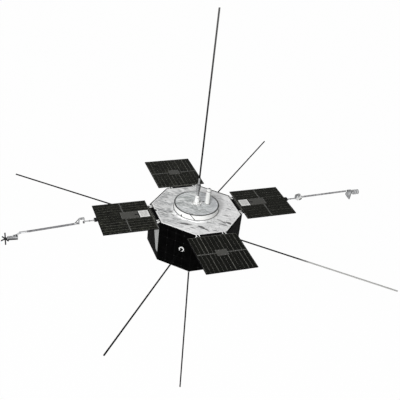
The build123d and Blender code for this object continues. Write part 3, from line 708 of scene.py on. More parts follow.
print("CAD nodes finished")


# outer is the distance to each of the eight edges by azimuth, notch an azimuth, half width in degrees and depth
deckFoil = {"outer": {0: 0.866, 45: 0.862, 90: 0.868, 135: 0.874, 180: 0.856, 225: 0.848, 270: 0.889, 315: 0.876},
            "level": 1.0560, "relief": 0.0062, "wrinkleSize": 0.10, "notch": (172.0, 2.6, 0.035), "columns": 720,
            "rows": 52}
# folds pressed into each foil: start x and y, end x and y, half width, how dark the painted shade in it is
deckFolds = [
    (-0.17, -0.60, -0.07, -0.73, 0.042, 1.00), (-0.08, -0.71, -0.01, -0.81, 0.022, 1.00),
    (-0.53, -0.42, -0.28, -0.55, 0.038, 0.75), (0.30, -0.45, 0.42, -0.62, 0.029, 0.86),
    (0.42, -0.57, 0.55, -0.71, 0.038, 1.00), (0.28, -0.60, 0.44, -0.73, 0.022, 0.69),
    (-0.61, 0.01, -0.48, -0.04, 0.032, 0.80), (-0.57, -0.08, -0.54, -0.18, 0.022, 0.57),
    (-0.56, 0.60, -0.45, 0.55, 0.042, 0.46), (0.46, -0.32, 0.58, -0.40, 0.024, 0.69),
    (0.07, -0.78, 0.17, -0.87, 0.022, 0.63), (-0.34, -0.61, -0.24, -0.69, 0.018, 0.69),
    (-0.78, 0.03, -0.70, -0.06, 0.026, 0.57), (0.01, -0.50, 0.15, -0.56, 0.018, 0.52),
    (0.64, -0.09, 0.73, -0.18, 0.021, 0.57), (-0.05, 0.84, 0.08, 0.78, 0.024, 0.52),
    (0.60, 0.30, 0.72, 0.20, 0.022, 0.46), (0.18, 0.74, 0.32, 0.66, 0.022, 0.46)]
lidFolds = [
    (-0.09, -0.08, 0.06, -0.11, 0.028, 0.35), (-0.05, -0.27, 0.12, -0.26, 0.026, 0.34),
    (-0.03, -0.36, 0.14, -0.36, 0.024, 0.3), (0.16, -0.23, 0.29, -0.18, 0.026, 0.3),
    (-0.40, 0.09, -0.28, 0.06, 0.024, 0.42), (-0.25, 0.12, -0.10, 0.11, 0.04, 0.26),
    (-0.34, -0.13, -0.24, -0.18, 0.024, 0.32), (-0.28, 0.27, -0.18, 0.24, 0.024, 0.22),
    (0.04, -0.16, 0.13, -0.19, 0.022, 0.32), (0.36, -0.05, 0.39, -0.12, 0.022, 0.35),
    (-0.22, -0.01, -0.12, -0.06, 0.03, 0.24), (0.30, 0.12, 0.38, 0.06, 0.022, 0.3)]


def foldDepth(x, y, seed, folds):
    # along each fold t runs 0 to 1; the depth is dark x (1.25 - distance / (half width x (0.25 + 0.75 sin pi t))), held
    # to 0 to 1, the deepest fold counts, and one side of each falls off about four times as fast as the other
    x = x + 0.010 * crinkle(x, y, 0.045, seed + 8, 7)
    y = y + 0.010 * crinkle(x, y, 0.038, seed + 9, 7)
    depth = np.zeros_like(x)
    for x0, y0, x1, y1, half, dark in folds:
        runX, runY = x1 - x0, y1 - y0
        t = np.clip(((x - x0) * runX + (y - y0) * runY) / (runX ** 2 + runY ** 2), 0, 1)
        distance = np.hypot(x - x0 - t * runX, y - y0 - t * runY)
        distance = distance * np.where((x - x0) * runY > (y - y0) * runX, 2.6, 0.62)
        share = distance / (half * (0.25 + 0.75 * np.sin(math.pi * t)))
        depth = np.maximum(depth, dark * np.clip(1.25 - share, 0, 1))
    return depth


def makeDeckFoil(end, seed):
    # polar grid: each ray runs from the ring's foot, up and over the ring's edge, then flat to the eight-sided rim
    # and down over it; the rim's radius is the least of half / cos(angle to the face's middle) over the faces
    count, rows = deckFoil["columns"], deckFoil["rows"]
    angle = np.arange(count) * 2 * math.pi / count
    reach = np.full(count, 9.0)
    for azimuth, half in deckFoil["outer"].items():
        facingIt = np.cos(angle - math.radians(azimuth))
        reach = np.where(facingIt > 0.5, np.minimum(reach, half / np.maximum(facingIt, 0.5)), reach)
    notchAt, width, depth = deckFoil["notch"]
    reach = reach - depth * ease(width - np.abs(np.degrees(angle) - notchAt), 0, 0.8)
    reach = reach - 0.0025 * (1 + crinkle(np.cos(angle), np.sin(angle), 0.05, seed + 5))
    foot = np.array([(0.4782, 1.0722), (0.4784, 1.0792), (0.4798, 1.0822), (0.4835, 1.0828), (0.4885, 1.0795),
                     (0.4935, 1.0722), (0.499, 1.0655), (0.506, 1.0610)])
    flatStart = 0.514
    flat = flatStart + (reach - 0.004 - flatStart) * (np.linspace(0, 1, rows) ** 0.9)[:, None]
    radius = np.concatenate([np.repeat(foot[:, :1], count, 1), flat, reach[None] - 0.001, reach[None]])
    height = np.concatenate([np.repeat(foot[:, 1:], count, 1), np.full((rows, count), deckFoil["level"]),
                             np.full((1, count), 1.0532), np.full((1, count), 1.0512)])
    x, y = radius * np.cos(angle), radius * np.sin(angle)
    inward = reach - radius
    calm = ease(inward, 0.0, 0.03) * ease(radius, 0.49, 0.54)
    lean = math.radians(56)
    wrinkles = np.clip(crinkle(x, y, deckFoil["wrinkleSize"], seed, 9, lean, 1.0), -0.8, 1.3)
    height = height + deckFoil["relief"] * wrinkles * calm
    height = height + 0.0016 * crinkle(x, y, 0.034, seed + 1, 7, lean, 1.6) * calm
    swell = ease(radius, 0.506, 0.53) * ease(0.075 - np.abs(radius - 0.52), 0, 0.05)
    height = height + 0.0016 * crinkle(x, y, 0.05, seed + 2, 6) * swell
    radius = radius + 0.0012 * np.abs(crinkle(x, y, 0.03, seed + 3, 7)) * ease(0.4985 - radius, 0, 0.012)
    folded = foldDepth(x, y, seed, deckFolds) * calm
    height = np.clip(height - 0.005 * folded, 1.0505, 1.0838)
    # the rim's brighter tone is a painted highlight and a fold's darker tone painted shade
    rim = ease(inward, 0.035, 0.012) * 0.75 - folded      # above 0 the rim is brighter, below 0 a fold is darker
    sheet = bit(polar(radius, angle, height), [gridFaces(len(radius), count, False, True)], "foil", tone=rim)
    piece = makePiece(f"{end}DeckFoil", moved([sheet], ends[end]), "bus",
                      replaced=["top_blanket" if end == "upper" else "bottom_blanket"], closed=False, crease=60)
    # flat area: the rim's polygon less the ring's disc, with the 30 mm that stand up round the ring
    corners = polar(reach, angle, 0)
    following = np.roll(corners, -1, 0)
    area = 0.5 * abs(np.sum(corners[:, 0] * following[:, 1] - corners[:, 1] * following[:, 0]))
    area += 2 * math.pi * 0.49 * 0.03 - math.pi * 0.478 ** 2


lidSheet = {"radius": 0.4405, "level": 1.1992, "relief": 0.0011, "columns": 360, "rows": 60, "openArea": 0.032}


def makeLidFoil(end, seed):
    # disc grid with the rows at even radii; faces under the mast's crossed foot and the stub's foot are left out
    count, rows, reach = lidSheet["columns"], lidSheet["rows"], lidSheet["radius"]
    angle = np.arange(count) * 2 * math.pi / count
    radius = np.linspace(0.02, reach, rows)[:, None] + np.zeros(count)
    x, y = radius * np.cos(angle), radius * np.sin(angle)
    calm = ease(reach - radius, 0.0, 0.02)
    wrinkles = np.clip(crinkle(x, y, 0.08, seed, 9, math.radians(60), 1.4), -0.8, 2)
    height = lidSheet["level"] + lidSheet["relief"] * wrinkles * calm
    height = height + 0.0004 * crinkle(x, y, 0.02, seed + 1, 7) * calm
    folded = foldDepth(x, y, seed, lidFolds) * calm
    height = np.clip(height - 0.0015 * folded, 1.1984, 1.2012)
    faces = gridFaces(rows, count, False, True)
    midX, midY = x.ravel()[faces].mean(1), y.ravel()[faces].mean(1)
    ax, ay = np.abs(midX), np.abs(midY)
    cross = ((ax < 0.110) & (ay < 0.021)) | ((ax < 0.021) & (ay < 0.110)) | (np.hypot(midX, midY) < 0.052)
    faces = faces[~(cross | (np.hypot(midX - stubPlace[0], midY - stubPlace[1]) < 0.052))]
    # a fold's tone below 0 is painted shade
    sheet = bit(np.stack([x, y, height], -1), [faces], "lidFoil", tone=-folded)
    piece = makePiece(f"{end}LidFoil", moved([sheet], ends[end]), "bus", closed=False, crease=60)
    work = bmesh.new()
    work.from_mesh(piece.data)
    bmesh.ops.delete(work, geom=[v for v in work.verts if not v.link_faces], context="VERTS")
    work.to_mesh(piece.data)
    work.free()


for index, end in enumerate(ends):
    makeDeckFoil(end, 40 + 10 * index)
    makeLidFoil(end, 70 + 10 * index)
print("deck and lid foil laid")


# wire outlets by their wall's azimuth: offset along the wall, level, and the azimuth that the wire leaves at
outlets = {45: (0.143, 0.600, 45.4), 135: (0.178, 0.600, 138.6), 225: (0.158, 0.640, 229.2), 315: (0.111, 0.600, 317.5)}
wallBlanket = {"half": 0.895, "low": 0.152, "high": 1.048, "stand": 0.0022, "swell": 0.0032, "pitch": 0.185,
               "columns": 56, "rows": 84}


def makeWallBlanket():
    # band round the eight walls: columns at even steps across each wall, rows down it; the stand-off is a low pillow
    # |sin| x |sin| between the stitched lines plus crushed-film creases, calm near the outlets and both rims
    half, columns, rows = wallBlanket["half"], wallBlanket["columns"], wallBlanket["rows"]
    low, high, pitch = wallBlanket["low"], wallBlanket["high"], wallBlanket["pitch"]
    reachY = half * math.tan(math.pi / 8)
    across = np.linspace(-reachY, reachY, columns, endpoint=False)
    y, z = np.meshgrid(across, np.linspace(high - 0.002, low + 0.002, rows))
    lines = [np.abs((value / pitch + 0.5) % 1 - 0.5) for value in (y, z - midLevel)]
    stitch = np.where(np.minimum(*lines) * pitch < 0.0035, 0.8, 0.0)
    pillow = np.abs(np.sin(math.pi * y / pitch)) ** 0.6 * np.abs(np.sin(math.pi * (z - midLevel) / pitch)) ** 0.6
    turnedIn = np.array([[0.030], [0.001]]) + np.zeros(columns)
    lift = np.array([[0.0012], [0.0016]]) + np.zeros(columns)
    level = np.vstack([high + lift, z, low - lift[::-1]])
    rings = []
    for face in range(8):
        calm = ease(high - z, 0.035, 0.07) * ease(z - low, 0.035, 0.07)
        if face * 45 in outlets:
            outY, outZ = outlets[face * 45][:2]
            calm = calm * ease(np.hypot(y - outY, z - outZ), 0.062, 0.11)
        creases = 0.0016 * np.clip(crinkle(y + face * 3.1, z, 0.06, 11 + face, 9), -0.9, 1.1) * (0.4 + 0.6 * pillow)
        stand = np.maximum(wallBlanket["stand"] + (wallBlanket["swell"] * pillow + creases) * calm, 0.0008)
        reach = np.vstack([half - turnedIn, half + stand, half - turnedIn[::-1]])
        side = np.vstack([across, across, y, across, across]) * reach / half
        c, s = math.cos(math.radians(face * 45)), math.sin(math.radians(face * 45))
        rings.append(np.stack([reach * c - side * s, reach * s + side * c, level], -1))
    points = np.concatenate(rings, 1)[::-1]
    rims = np.zeros((2, columns))
    tone = np.tile(np.vstack([rims, stitch, rims]), (1, 8))[::-1]
    film = bit(points, [gridFaces(*points.shape[:2], False, True)], "blanket", tone=tone)
    piece = makePiece("wallBlanket", [film], "bus", closed=False, crease=60)

    # a button where the stitched lines cross, but not beside an outlet or under the radiator
    button = turn([(0.0085, 0), (0.0085, 0.0012), (0.0045, 0.0022), (0.003, 0.0034), (0.0008, 0.0036)], 10, "darkSteel")
    places = [about(face * 45) @ at(half + 0.0018, column * pitch, midLevel + row * pitch, turnY=90)
              for face in range(8) for row in (-2, -1, 0, 1, 2) for column in (-1, 0, 1)
              if column < 0 or not (face == 4 or face % 2 and row == 0)]
    makePiece("blanketButtons", [copies(button, places)], "bus")


makeWallBlanket()
print("wall blanket stretched")


ringTrim = {"seamFrom": (234.25, 1.199), "seamTo": (247.75, 1.087), "seamWidth": 0.022, "clipAt": (210.5, 1.105)}


def makeRingTrim(end):
    # overlapped seam of the ring's paint tape: a thin strip whose angle grows evenly as it goes down the ring
    (a0, z0), (a1, z1) = ringTrim["seamFrom"], ringTrim["seamTo"]
    t = np.linspace(0, 1, 14)[:, None]
    skin, edge = np.array([0.4682, 0.4696, 0.4696, 0.4682]), np.array([-1, -1, 1, 1])
    angle = np.radians(a0 + (a1 - a0) * t) + edge * ringTrim["seamWidth"] / 2 / 0.4685
    bits = [loft(polar(skin, angle, z0 + (z1 - z0) * t), "darkSteel")]
    # sealant bead where the ring meets its foot, then the edge tape that closes the foil against the ring, dark so that
    # it also paints the shadow line there
    bead = np.linspace(0, 2 * math.pi, 8, endpoint=False)
    for radius, level, wide, tall in ((0.4687, 1.0745, 0.0022, 0.0026), (0.4733, 1.0850, 0.0052, 0.0030)):
        profile = np.column_stack([radius + wide * np.cos(bead), level + tall * np.sin(bead)])
        bits.append(turn(profile, 180, "darkSteel", wrap=True))
    lip = [(0.4688, 1.1935), (0.4697, 1.1942), (0.4697, 1.1985), (0.4688, 1.1992)]
    bits.append(turn(lip, 180, "darkSteel", wrap=True))      # edge band just under the mating face
    azimuth, level = ringTrim["clipAt"]
    bits += moved([block(0.036, 0.024, 0.006, 0.003, 0.001, "darkSteel"), screwHead(0.004, 0.009)],
                  about(azimuth) @ at(0.4685, 0, level, turnY=90))
    bits.append(copies(hexNut(0.0036, 0.0042), [at(x, y, 1.0719) for x, y, _ in circle(24, 0.4725, 7.5)]))
    gap = [(0.4431, 1.1978), (0.4413, 1.1978), (0.4405, 1.1990), (0.4413, 1.1999), (0.4431, 1.1999)]
    bits.append(turn(gap, 180, "tape", wrap=True))           # grey seal between lid and ring
    bits.append(copies(screwHead(0.0045, 0.0024), [at(x, y, 1.1985) for x, y, _ in circle(18, 0.4335)]))
    makePiece(f"{end}RingTrim", moved(bits, ends[end]), "bus")


mastTrim = {"footScrews": (0.075, 0.100), "bandLevels": (1.236, 1.345), "ribLevels": (1.410, 1.452, 1.494, 1.536),
            "coneLevel": 1.386, "coneRadius": 0.018, "coneSlope": 0.026 / 0.190, "drumBands": (1.582, 1.610, 1.638),
            "neckBands": (1.690, 1.735, 1.780), "clip": (0.160, 0.017, 1.1985),
            "lead": ((0.150, 0.020, 1.2015), (0.125, 0.030, 1.203), (0.095, 0.034, 1.209), (0.0640, 0.031, 1.224),
                     (0.0545, 0.023, 1.250), (0.0520, 0.020, 1.300), (0.0500, 0.019, 1.350), (0.038, 0.014, 1.372),
                     (0.024, 0.009, 1.388), (0.024, 0.009, 1.402))}


def makeMastTrim(end):
    # bands and foot screws; ribs that hug the cone, radius = cone's radius + slope x height above its start; end rings
    bits = [hoop(z, 0.0505, 0.052, 0.006, 48, "milled", 0.002) for z in mastTrim["bandLevels"]]
    spots = [(s * r, 0.013 * w) for r in mastTrim["footScrews"] for s in (-1, 1) for w in (-1, 1)]
    screws = [at(x, y, 1.212) for x, y in spots] + [at(y, x, 1.212) for x, y in spots]
    bits.append(copies(screwHead(0.0062, 0.0045), screws))
    for z in mastTrim["ribLevels"]:
        r = mastTrim["coneRadius"] + (z - mastTrim["coneLevel"]) * mastTrim["coneSlope"]
        rib = [(r - 0.001, z - 0.004), (r + 0.0016, z - 0.003), (r + 0.0024, z + 0.003), (r + 0.0005, z + 0.004)]
        bits.append(collar(rib, 40, "black"))
    bits += [hoop(z, 0.0435, 0.0456, 0.003, 40, "black") for z in mastTrim["drumBands"]]
    seats = [at(x, y, 1.596, turnZ=a, turnY=90) for x, y, a in circle(8, 0.0445)]
    bits.append(copies(screwHead(0.0035, 0.0025, sides=8), seats))
    bits.append(collar([(0.0200, 1.6445), (0.0262, 1.6445), (0.0262, 1.654), (0.0225, 1.658), (0.0195, 1.658)], 32,
                       "black"))
    bits += [hoop(z, 0.0178, 0.0192, 0.003, 32, "steel") for z in mastTrim["neckBands"]]
    bits.append(collar([(0.0168, 1.8105), (0.0215, 1.8105), (0.0215, 1.816), (0.0188, 1.824), (0.0168, 1.824)], 32,
                       "black"))
    bits.append(collar([(0.0900, 1.1990), (0.0900, 1.2026), (0.0975, 1.2030), (0.1000, 1.2018), (0.1000, 1.1990)], 64,
                       "tape"))
    bits.append(collar([(0.0540, 1.1990), (0.0540, 1.2016), (0.0895, 1.2016), (0.0895, 1.1990)], 64, "white"))
    # lead up the mast: its path is drawn straight between the listed points, then each point moves to the middle of
    # itself and its neighbours
    lead = np.array(mastTrim["lead"])
    path = np.stack([np.interp(np.linspace(0, 9, 60), np.arange(10), lead[:, k]) for k in range(3)], -1)
    path[1:-1] = (path[:-2] + path[1:-1] + path[2:]) / 3
    bits.append(tube(path, 0.0032, 8, "sleeve", (0.3, 1, 0.1)))
    bits += [tube(path[k:k + 3], 0.0045, 8, "black", (0.3, 1, 0.1)) for k in (22, 40)]
    bits += moved([block(0.026, 0.018, 0.012, 0.002, 0.001, "black"), screwHead(0.003, 0.014)], at(*mastTrim["clip"]))
    makePiece(f"{end}MastTrim", moved(bits, ends[end]), "bus")


def makeStubTrim(end):
    # base collar, two hoops, six tabs with a screw each, even round the foot, and a cap on the tip
    base = [(0.0528, 1.2075), (0.0552, 1.2085), (0.0552, 1.216), (0.0536, 1.2175), (0.0528, 1.2175)]
    bits = [collar(base, 48, "darkSteel"), hoop(1.33575, 0.0526, 0.0537, 0.00275, 48, "radome"),
            hoop(1.513, 0.0526, 0.0540, 0.007, 48, "tape")]
    tabs = [at(x, y, 1.198, turnZ=a) for x, y, a in circle(6, 0.0585)]
    bits.append(copies(block(0.018, 0.013, 0.006, 0.003, 0.001, "radome"), tabs))
    bits.append(copies(screwHead(0.0042, 0.0035), [tab @ at(0.003, 0, 0.006) for tab in tabs]))
    bits.append(turn([(0.018, 1.5655), (0.018, 1.5672), (0.015, 1.5680), (0.002, 1.5680)], 24, "darkSteel"))
    makePiece(f"{end}StubTrim", moved(bits, ends[end] @ at(*stubPlace, 0)), "bus")


for end in ends:
    makeRingTrim(end)
    makeMastTrim(end)
    makeStubTrim(end)
print("rings, masts and stub antennas trimmed")


def makeOutlets():
    # dark liner, stepped throat and screws on each outlet's face, and a gland that leans with the wire
    liner = turn([(0.0342, 0.0040), (0.0342, 0.0158), (0.0355, 0.0170), (0.0325, 0.0172), (0.0318, 0.0160),
                  (0.0318, 0.0042)], 48, "darkSteel", wrap=True)
    throat = turn([(0.0315, 0.0041), (0.0300, 0.0062), (0.0165, 0.0062), (0.0150, 0.0075), (0.0120, 0.0075),
                   (0.0118, 0.0041)], 40, "darkSteel", wrap=True)
    screws = copies(screwHead(0.0042, 0.0032), [at(x, y, 0.0158) for x, y, _ in circle(8, 0.0465)])
    gland = collar([(0.0148, 0.0), (0.0180, 0.0), (0.0175, 0.010), (0.0165, 0.014), (0.0148, 0.015)], 24, "darkSteel")
    bits = []
    for wall, (offset, level, azimuth) in outlets.items():
        bits += moved([liner, throat, screws], about(wall) @ at(wallBlanket["half"], offset, level, turnY=90))
        leaning = about(wall) @ at(0.8995, offset, level, turnZ=azimuth - wall) @ facing((0, 0, 0), (1, 0, 0))
        bits += moved([gland], leaning)
    makePiece("outletTrim", bits, "bus")


makeOutlets()


# for each panel, strip is the width of the tinned strips between strings, which also stand in for glints on the cover
# glass and so are partly painted highlight, shade how pale its cells are, set panel by panel as painted light and
# shade, and spread how far one cell's shade differs from the next; a plate that hides cells is given by its two ends
# and half its width
panel = {"start": 0.963, "end": 2.085, "half": 0.525, "margin": 0.012, "boardTop": 1.048, "boardLow": 1.030,
         "strings": 12, "cellRows": 13, "gapAcross": 0.0066, "gapAlong": 0.0022, "crossWidth": 0.030, "crop": 0.009,
         "underBoomPlates": ((1.012, 1.215, 0.110), (1.31, 1.595, 0.112)),
         "underPlainPlates": ((1.440, 1.615, 0.120),),
         "strip": {"right": 0.0012, "back": 0.0028, "left": 0.0016, "front": 0.0031},
         "shade": {"right": 0.8, "back": 1.0, "left": 0.95, "front": 0.04},
         "spread": {"right": 0.35, "back": 1.0, "left": 1.0, "front": 1.0}}


def makeCells(side, seed):
    # one wafer with cropped corners, set out in rows and strings; each has its own shade and its own corner-to-corner
    # lay, and those under a cover are left out
    dice = np.random.default_rng(seed)
    start, end, half = panel["start"] + panel["margin"], panel["end"] - panel["margin"], panel["half"] - panel["margin"]
    top, cross, shift = panel["boardTop"], panel["crossWidth"], boomShift[side]
    covered = panel["underBoomPlates" if shift else "underPlainPlates"]
    middle, pitchY = (start + end) / 2, 2 * half / panel["strings"]
    pitchX = (end - start - cross) / 2 / panel["cellRows"]
    long, wide, crop = (pitchX - panel["gapAlong"]) / 2, (pitchY - panel["gapAcross"]) / 2, panel["crop"]
    shape = np.array([(long, wide - crop), (long - crop, wide), (-long + crop, wide), (-long, wide - crop),
                      (-long, -wide + crop), (-long + crop, -wide), (long - crop, -wide), (long, -wide + crop)])
    wafer = loft([np.column_stack([shape * share, np.full(8, level)])
                  for share, level in ((1, 0.0), (1, 0.0016), (0.985, 0.002))], "cell", (False, True))
    wafer["uv"] = np.tile(shape / (2 * long, 2 * wide) + 0.5, (3, 1))
    places, tones = [], []
    for first in (start, middle + cross / 2):
        for row in range(panel["cellRows"]):
            for column in range(panel["strings"]):
                x, y = first + (row + 0.5) * pitchX, -half + (column + 0.5) * pitchY
                if not any(x0 + long < x < x1 - long and abs(y - shift) < reach - wide for x0, x1, reach in covered):
                    places.append(Matrix.Translation((x, y, top)))
                    # each cell's random shade is scaled by its panel's painted light and shade
                    tones.append((0.22 + panel["spread"][side] * (dice.beta(1.4, 5.0) - 0.22)) * panel["shade"][side])
    cells = copies(wafer, places)
    cells["tone"] = np.repeat(tones, len(wafer["points"]))
    bits = [cells]
    # tinned strips between strings, pale and as wide as the glints on the cover glass: partly painted highlight
    for column in range(panel["strings"] + 1):
        y = np.clip(-half + column * pitchY, -half + 0.003, half - 0.003)
        for x0, x1 in ((start + 0.004, middle - cross / 2 - 0.002), (middle + cross / 2 + 0.002, end - 0.004)):
            width = panel["strip"][side] * (0.45 + 1.3 * dice.random() ** 2)
            bits.append(placed(block(x1 - x0, width, 0.0016, 0.0003, 0.0002, "tinned", 2), (x0 + x1) / 2, y, top))
    bits.append(placed(block(cross - 0.004, 2 * half - 0.006, 0.0019, 0.002, 0.0005, "cover"), middle, 0, top))
    bits.append(placed(block(0.004, 2 * half, 0.0018, 0.001, 0.0004, "tinned", 2), start - 0.001, 0, top))
    lugs = [at(middle + 0.008 * s, -half + (c + 0.5 + 0.22 * w) * pitchY, top + 0.0018)
            for c in range(panel["strings"]) for s in (-1, 1) for w in (-1, 1)
            if abs(-half + (c + 0.5) * pitchY - shift) > 0.13]
    bits.append(copies(screwHead(0.0034, 0.0014, sides=8), lugs))
    makePiece(f"{side}Cells", moved(bits, about(panelTurn[side])), f"{side}_panel",
              replaced=[f"{side}_panel_cells"], closed=False, crease=30)


boardTrim = {"harnessRadius": 0.0045, "clampPitch": 0.16}


def makeBoardTrim(side):
    # edge close-outs, inserts with their screws, and on the underside a harness that runs out from the hinge and forks
    start, end, half = panel["start"], panel["end"], panel["half"]
    low, top = panel["boardLow"], panel["boardTop"]
    inserts = [at(x, s * (half - 0.0065), top) for x in np.linspace(start + 0.03, end - 0.03, 9) for s in (-1, 1)]
    bits = [copies(screwHead(0.0045, 0.0022, "root", 10), inserts)]
    under = [at(x, y, low, turnX=180) for x in np.linspace(start + 0.05, end - 0.05, 6)
             for y in (-0.48, -0.24, 0.0, 0.24, 0.48)]
    washer = [(0.011, 0), (0.011, 0.0008), (0.006, 0.0012), (0.0055, 0.0004), (0.001, 0.0004)]
    bits.append(copies(turn(washer, 16, "black"), under))
    edge = block(end - start - 0.002, 0.015, 0.0012, 0.001, 0.0003, "root", 2)
    bits += [placed(edge, (start + end) / 2, s * half, (low + top) / 2, turnX=-90 * s) for s in (1, -1)]
    t = np.linspace(0, 1, 60)
    for run in (-0.020, 0.0, 0.020):
        # the outer wires swing aside by 0.25 on an eased curve, and all wander by a small sine
        y = run + 0.25 * ease(t, 0.55, 1.0) * np.sign(run) + 0.004 * np.sin(t * 17 + run * 90)
        path = np.stack([start + 0.02 + t * 0.62, y, np.full(60, low - 0.0048)], -1)
        bits.append(tube(path, boardTrim["harnessRadius"], 8, "sleeve"))
    clamps = [at(start + 0.08 + k * boardTrim["clampPitch"], 0, low, turnX=180) for k in range(3)]
    bits.append(copies(block(0.014, 0.062, 0.0100, 0.003, 0.002, "black"), clamps))
    bits.append(copies(screwHead(0.003, 0.0115, sides=8), [c @ at(0, s * 0.024, 0) for c in clamps for s in (-1, 1)]))
    bits.append(placed(block(0.085, 0.060, 0.010, 0.004, 0.0015, "box"), start + 0.67, 0, low, turnX=180))
    smallBox = block(0.060, 0.045, 0.009, 0.004, 0.0015, "box")
    bits += [placed(smallBox, start + 0.66, s * 0.27, low, turnX=180) for s in (-1, 1)]
    diodes = [at(start + 0.70 + k * 0.055, y, low, turnX=180) for k in range(5) for y in (-0.32, 0.32)]
    bits.append(copies(block(0.020, 0.009, 0.005, 0.002, 0.001, "black"), diodes))
    makePiece(f"{side}BoardTrim", moved(bits, about(panelTurn[side])), f"{side}_panel")


# each plate by its two ends and half its width
coverTrim = {"screwInset": 0.009, "top": 1.056, "boomPlates": ((1.240, 1.595, 0.112), (1.012, 1.215, 0.110)),
             "plainPlates": ((1.440, 1.615, 0.120),), "cradles": (1.040, 1.187)}


def makeCoverTrim(side):
    # screws at even steps along each plate's rim, set in from its edge, and what lies on or beside the plates
    top, inset, shift = coverTrim["top"], coverTrim["screwInset"], boomShift[side]
    bits = []
    for x0, x1, reach in coverTrim["boomPlates" if shift else "plainPlates"]:
        y0, y1 = shift - reach, shift + reach
        xs = np.linspace(x0 + inset, x1 - inset, 3 if x1 - x0 < 0.25 else 5)
        ys = np.linspace(y0 + inset, y1 - inset, 4)
        rim = [at(x, y, top) for x in xs for y in (ys[0], ys[-1])]
        rim += [at(x, y, top) for x in (xs[0], xs[-1]) for y in ys[1:-1]]
        bits.append(copies(screwHead(0.0042, 0.0022, sides=10), rim))
        # raised edge fold: a thin bead round the plate
        outline = roundedOutline(x1 - x0 - 0.003, y1 - y0 - 0.003, 0.004) + ((x0 + x1) / 2, (y0 + y1) / 2)
        bits.append(tube(np.column_stack([outline, np.full(len(outline), top)]), 0.0011, 6, "cover", wrap=True))
    if shift:
        # dark plug and its lead in the cover's notch, white tape round the pad's rim, and the boom's foam cradles
        plug = (block(0.050, 0.030, 0.0085, 0.003, 0.001, "black"), block(0.022, 0.020, 0.012, 0.003, 0.001, "black"))
        bits += moved(plug, at(1.272, shift, 1.050))
        bits.append(tube([(1.215, shift, 1.053), (1.235, shift, 1.0535), (1.250, shift, 1.055)], 0.0035, 8, "sleeve"))
        for s in (-1, 1):
            bits.append(placed(block(0.203, 0.024, 0.0016, 0.001, 0.0005, "hinge", 2), 1.1135, shift + s * 0.098, top))
            bits.append(placed(block(0.024, 0.172, 0.0016, 0.001, 0.0005, "hinge", 2), 1.1135 + s * 0.0895, shift, top))
        cradle = block(0.012, 0.150, 0.0035, 0.0015, 0.001, "foam")
        bits.append(copies(cradle, [at(x, shift, top) for x in coverTrim["cradles"]]))
    makePiece(f"{side}CoverTrim", moved(bits, about(panelTurn[side])), f"{side}_panel")


hingeTrim = {"reach": 0.930, "level": 1.040, "spread": 0.275, "springTurns": 5.5, "springRadius": 0.0092}


def makeHingeTrim(side):
    # seat plates, nuts, screws, and a return spring wound as (r cos t, even steps along the pin, r sin t) on a core
    reach, level, radius = hingeTrim["reach"], hingeTrim["level"], hingeTrim["springRadius"]
    top = panel["boardTop"]
    fixed, swinging = [], []
    screw = screwHead(0.0032, 0.003, "milled", 8)
    core = turn([(0.0048, 0), (0.0048, 0.024), (0.0072, 0.0245), (0.0072, 0.027), (0.004, 0.0275)], 16, "milled")
    for outward in (-1, 1):
        spread = outward * hingeTrim["spread"]
        fixed.append(placed(block(0.033, 0.041, 0.0016, 0.001, 0.0005, "black", 2), 0.8988, spread, level, turnY=90))
        fixed.append(placed(block(0.0050, 0.041, 0.0012, 0.001, 0.0005, "black", 2), 0.8972, spread, 1.0568))
        for s in (-1, 1):
            fixed.append(placed(hexNut(0.0085, 0.0045, "milled"), reach, spread + s * 0.035, level, turnX=-90 * s))
            fixed += [placed(screw, 0.9003, spread + s * 0.010, z, turnY=90) for z in (1.0285, 1.0515)]
        t = np.linspace(0, hingeTrim["springTurns"] * 2 * math.pi, 120)
        spring = np.stack([reach + radius * np.cos(t), spread + outward * (0.0415 + t / t[-1] * 0.014),
                           level + radius * np.sin(t)], -1)
        fixed.append(tube(spring, 0.0011, 6, "milled", (0, 1, 0)))
        fixed.append(placed(core, reach, spread + outward * 0.035, level, turnX=-90 * outward))
        swinging += [placed(screwHead(0.0035, 0.0028, "milled", 8), 0.9555, spread + w, top) for w in (-0.008, 0.008)]
    swinging += [placed(screwHead(0.0042, 0.003, "black", 10), 0.952, y, top) for y in np.linspace(-0.215, 0.215, 9)]
    edge = "black" if side == "front" else "tinned"
    for x, width, material in ((0.914, 0.0022, "black"), (0.9385, 0.0035, edge), (0.9605, 0.0040, edge)):
        swinging.append(placed(block(width, 0.455, 0.0016, 0.0008, 0.0004, material, 2), x, 0, top))
    turned = about(panelTurn[side])
    makePiece(f"{side}HingeTrim", moved(fixed, turned), "bus")
    makePiece(f"{side}RootTrim", moved(swinging, turned), f"{side}_panel")


for index, side in enumerate(panelTurn):
    makeCells(side, 100 + index)
    makeBoardTrim(side)
    makeCoverTrim(side)
    makeHingeTrim(side)
print("solar panels dressed")


# start is the boom's level at its back end, tip its far end as distance out and level, face how far the fork's outer
# face is from the boom's line, sleeve the tip sleeve's length, its start's distance from the tip and its material
boom = {"right": {"start": 1.040, "tip": (3.756, 1.0729), "face": 0.029, "sleeve": (0.030, 0.145, "white")},
        "left": {"start": 0.992, "tip": (3.582, 0.921), "face": 0.021, "sleeve": (0.128, 0.130, "drum")},
        "begin": 2.456, "pin": (2.408, 1.094), "radius": 0.019, "armLevel": 1.020, "armRadius": 0.012,
        "bandPitch": 0.21}
cheek = {"middle": (2.416, 1.052), "radius": 0.070, "rim": 0.009, "spokes": 5, "hub": 0.019}


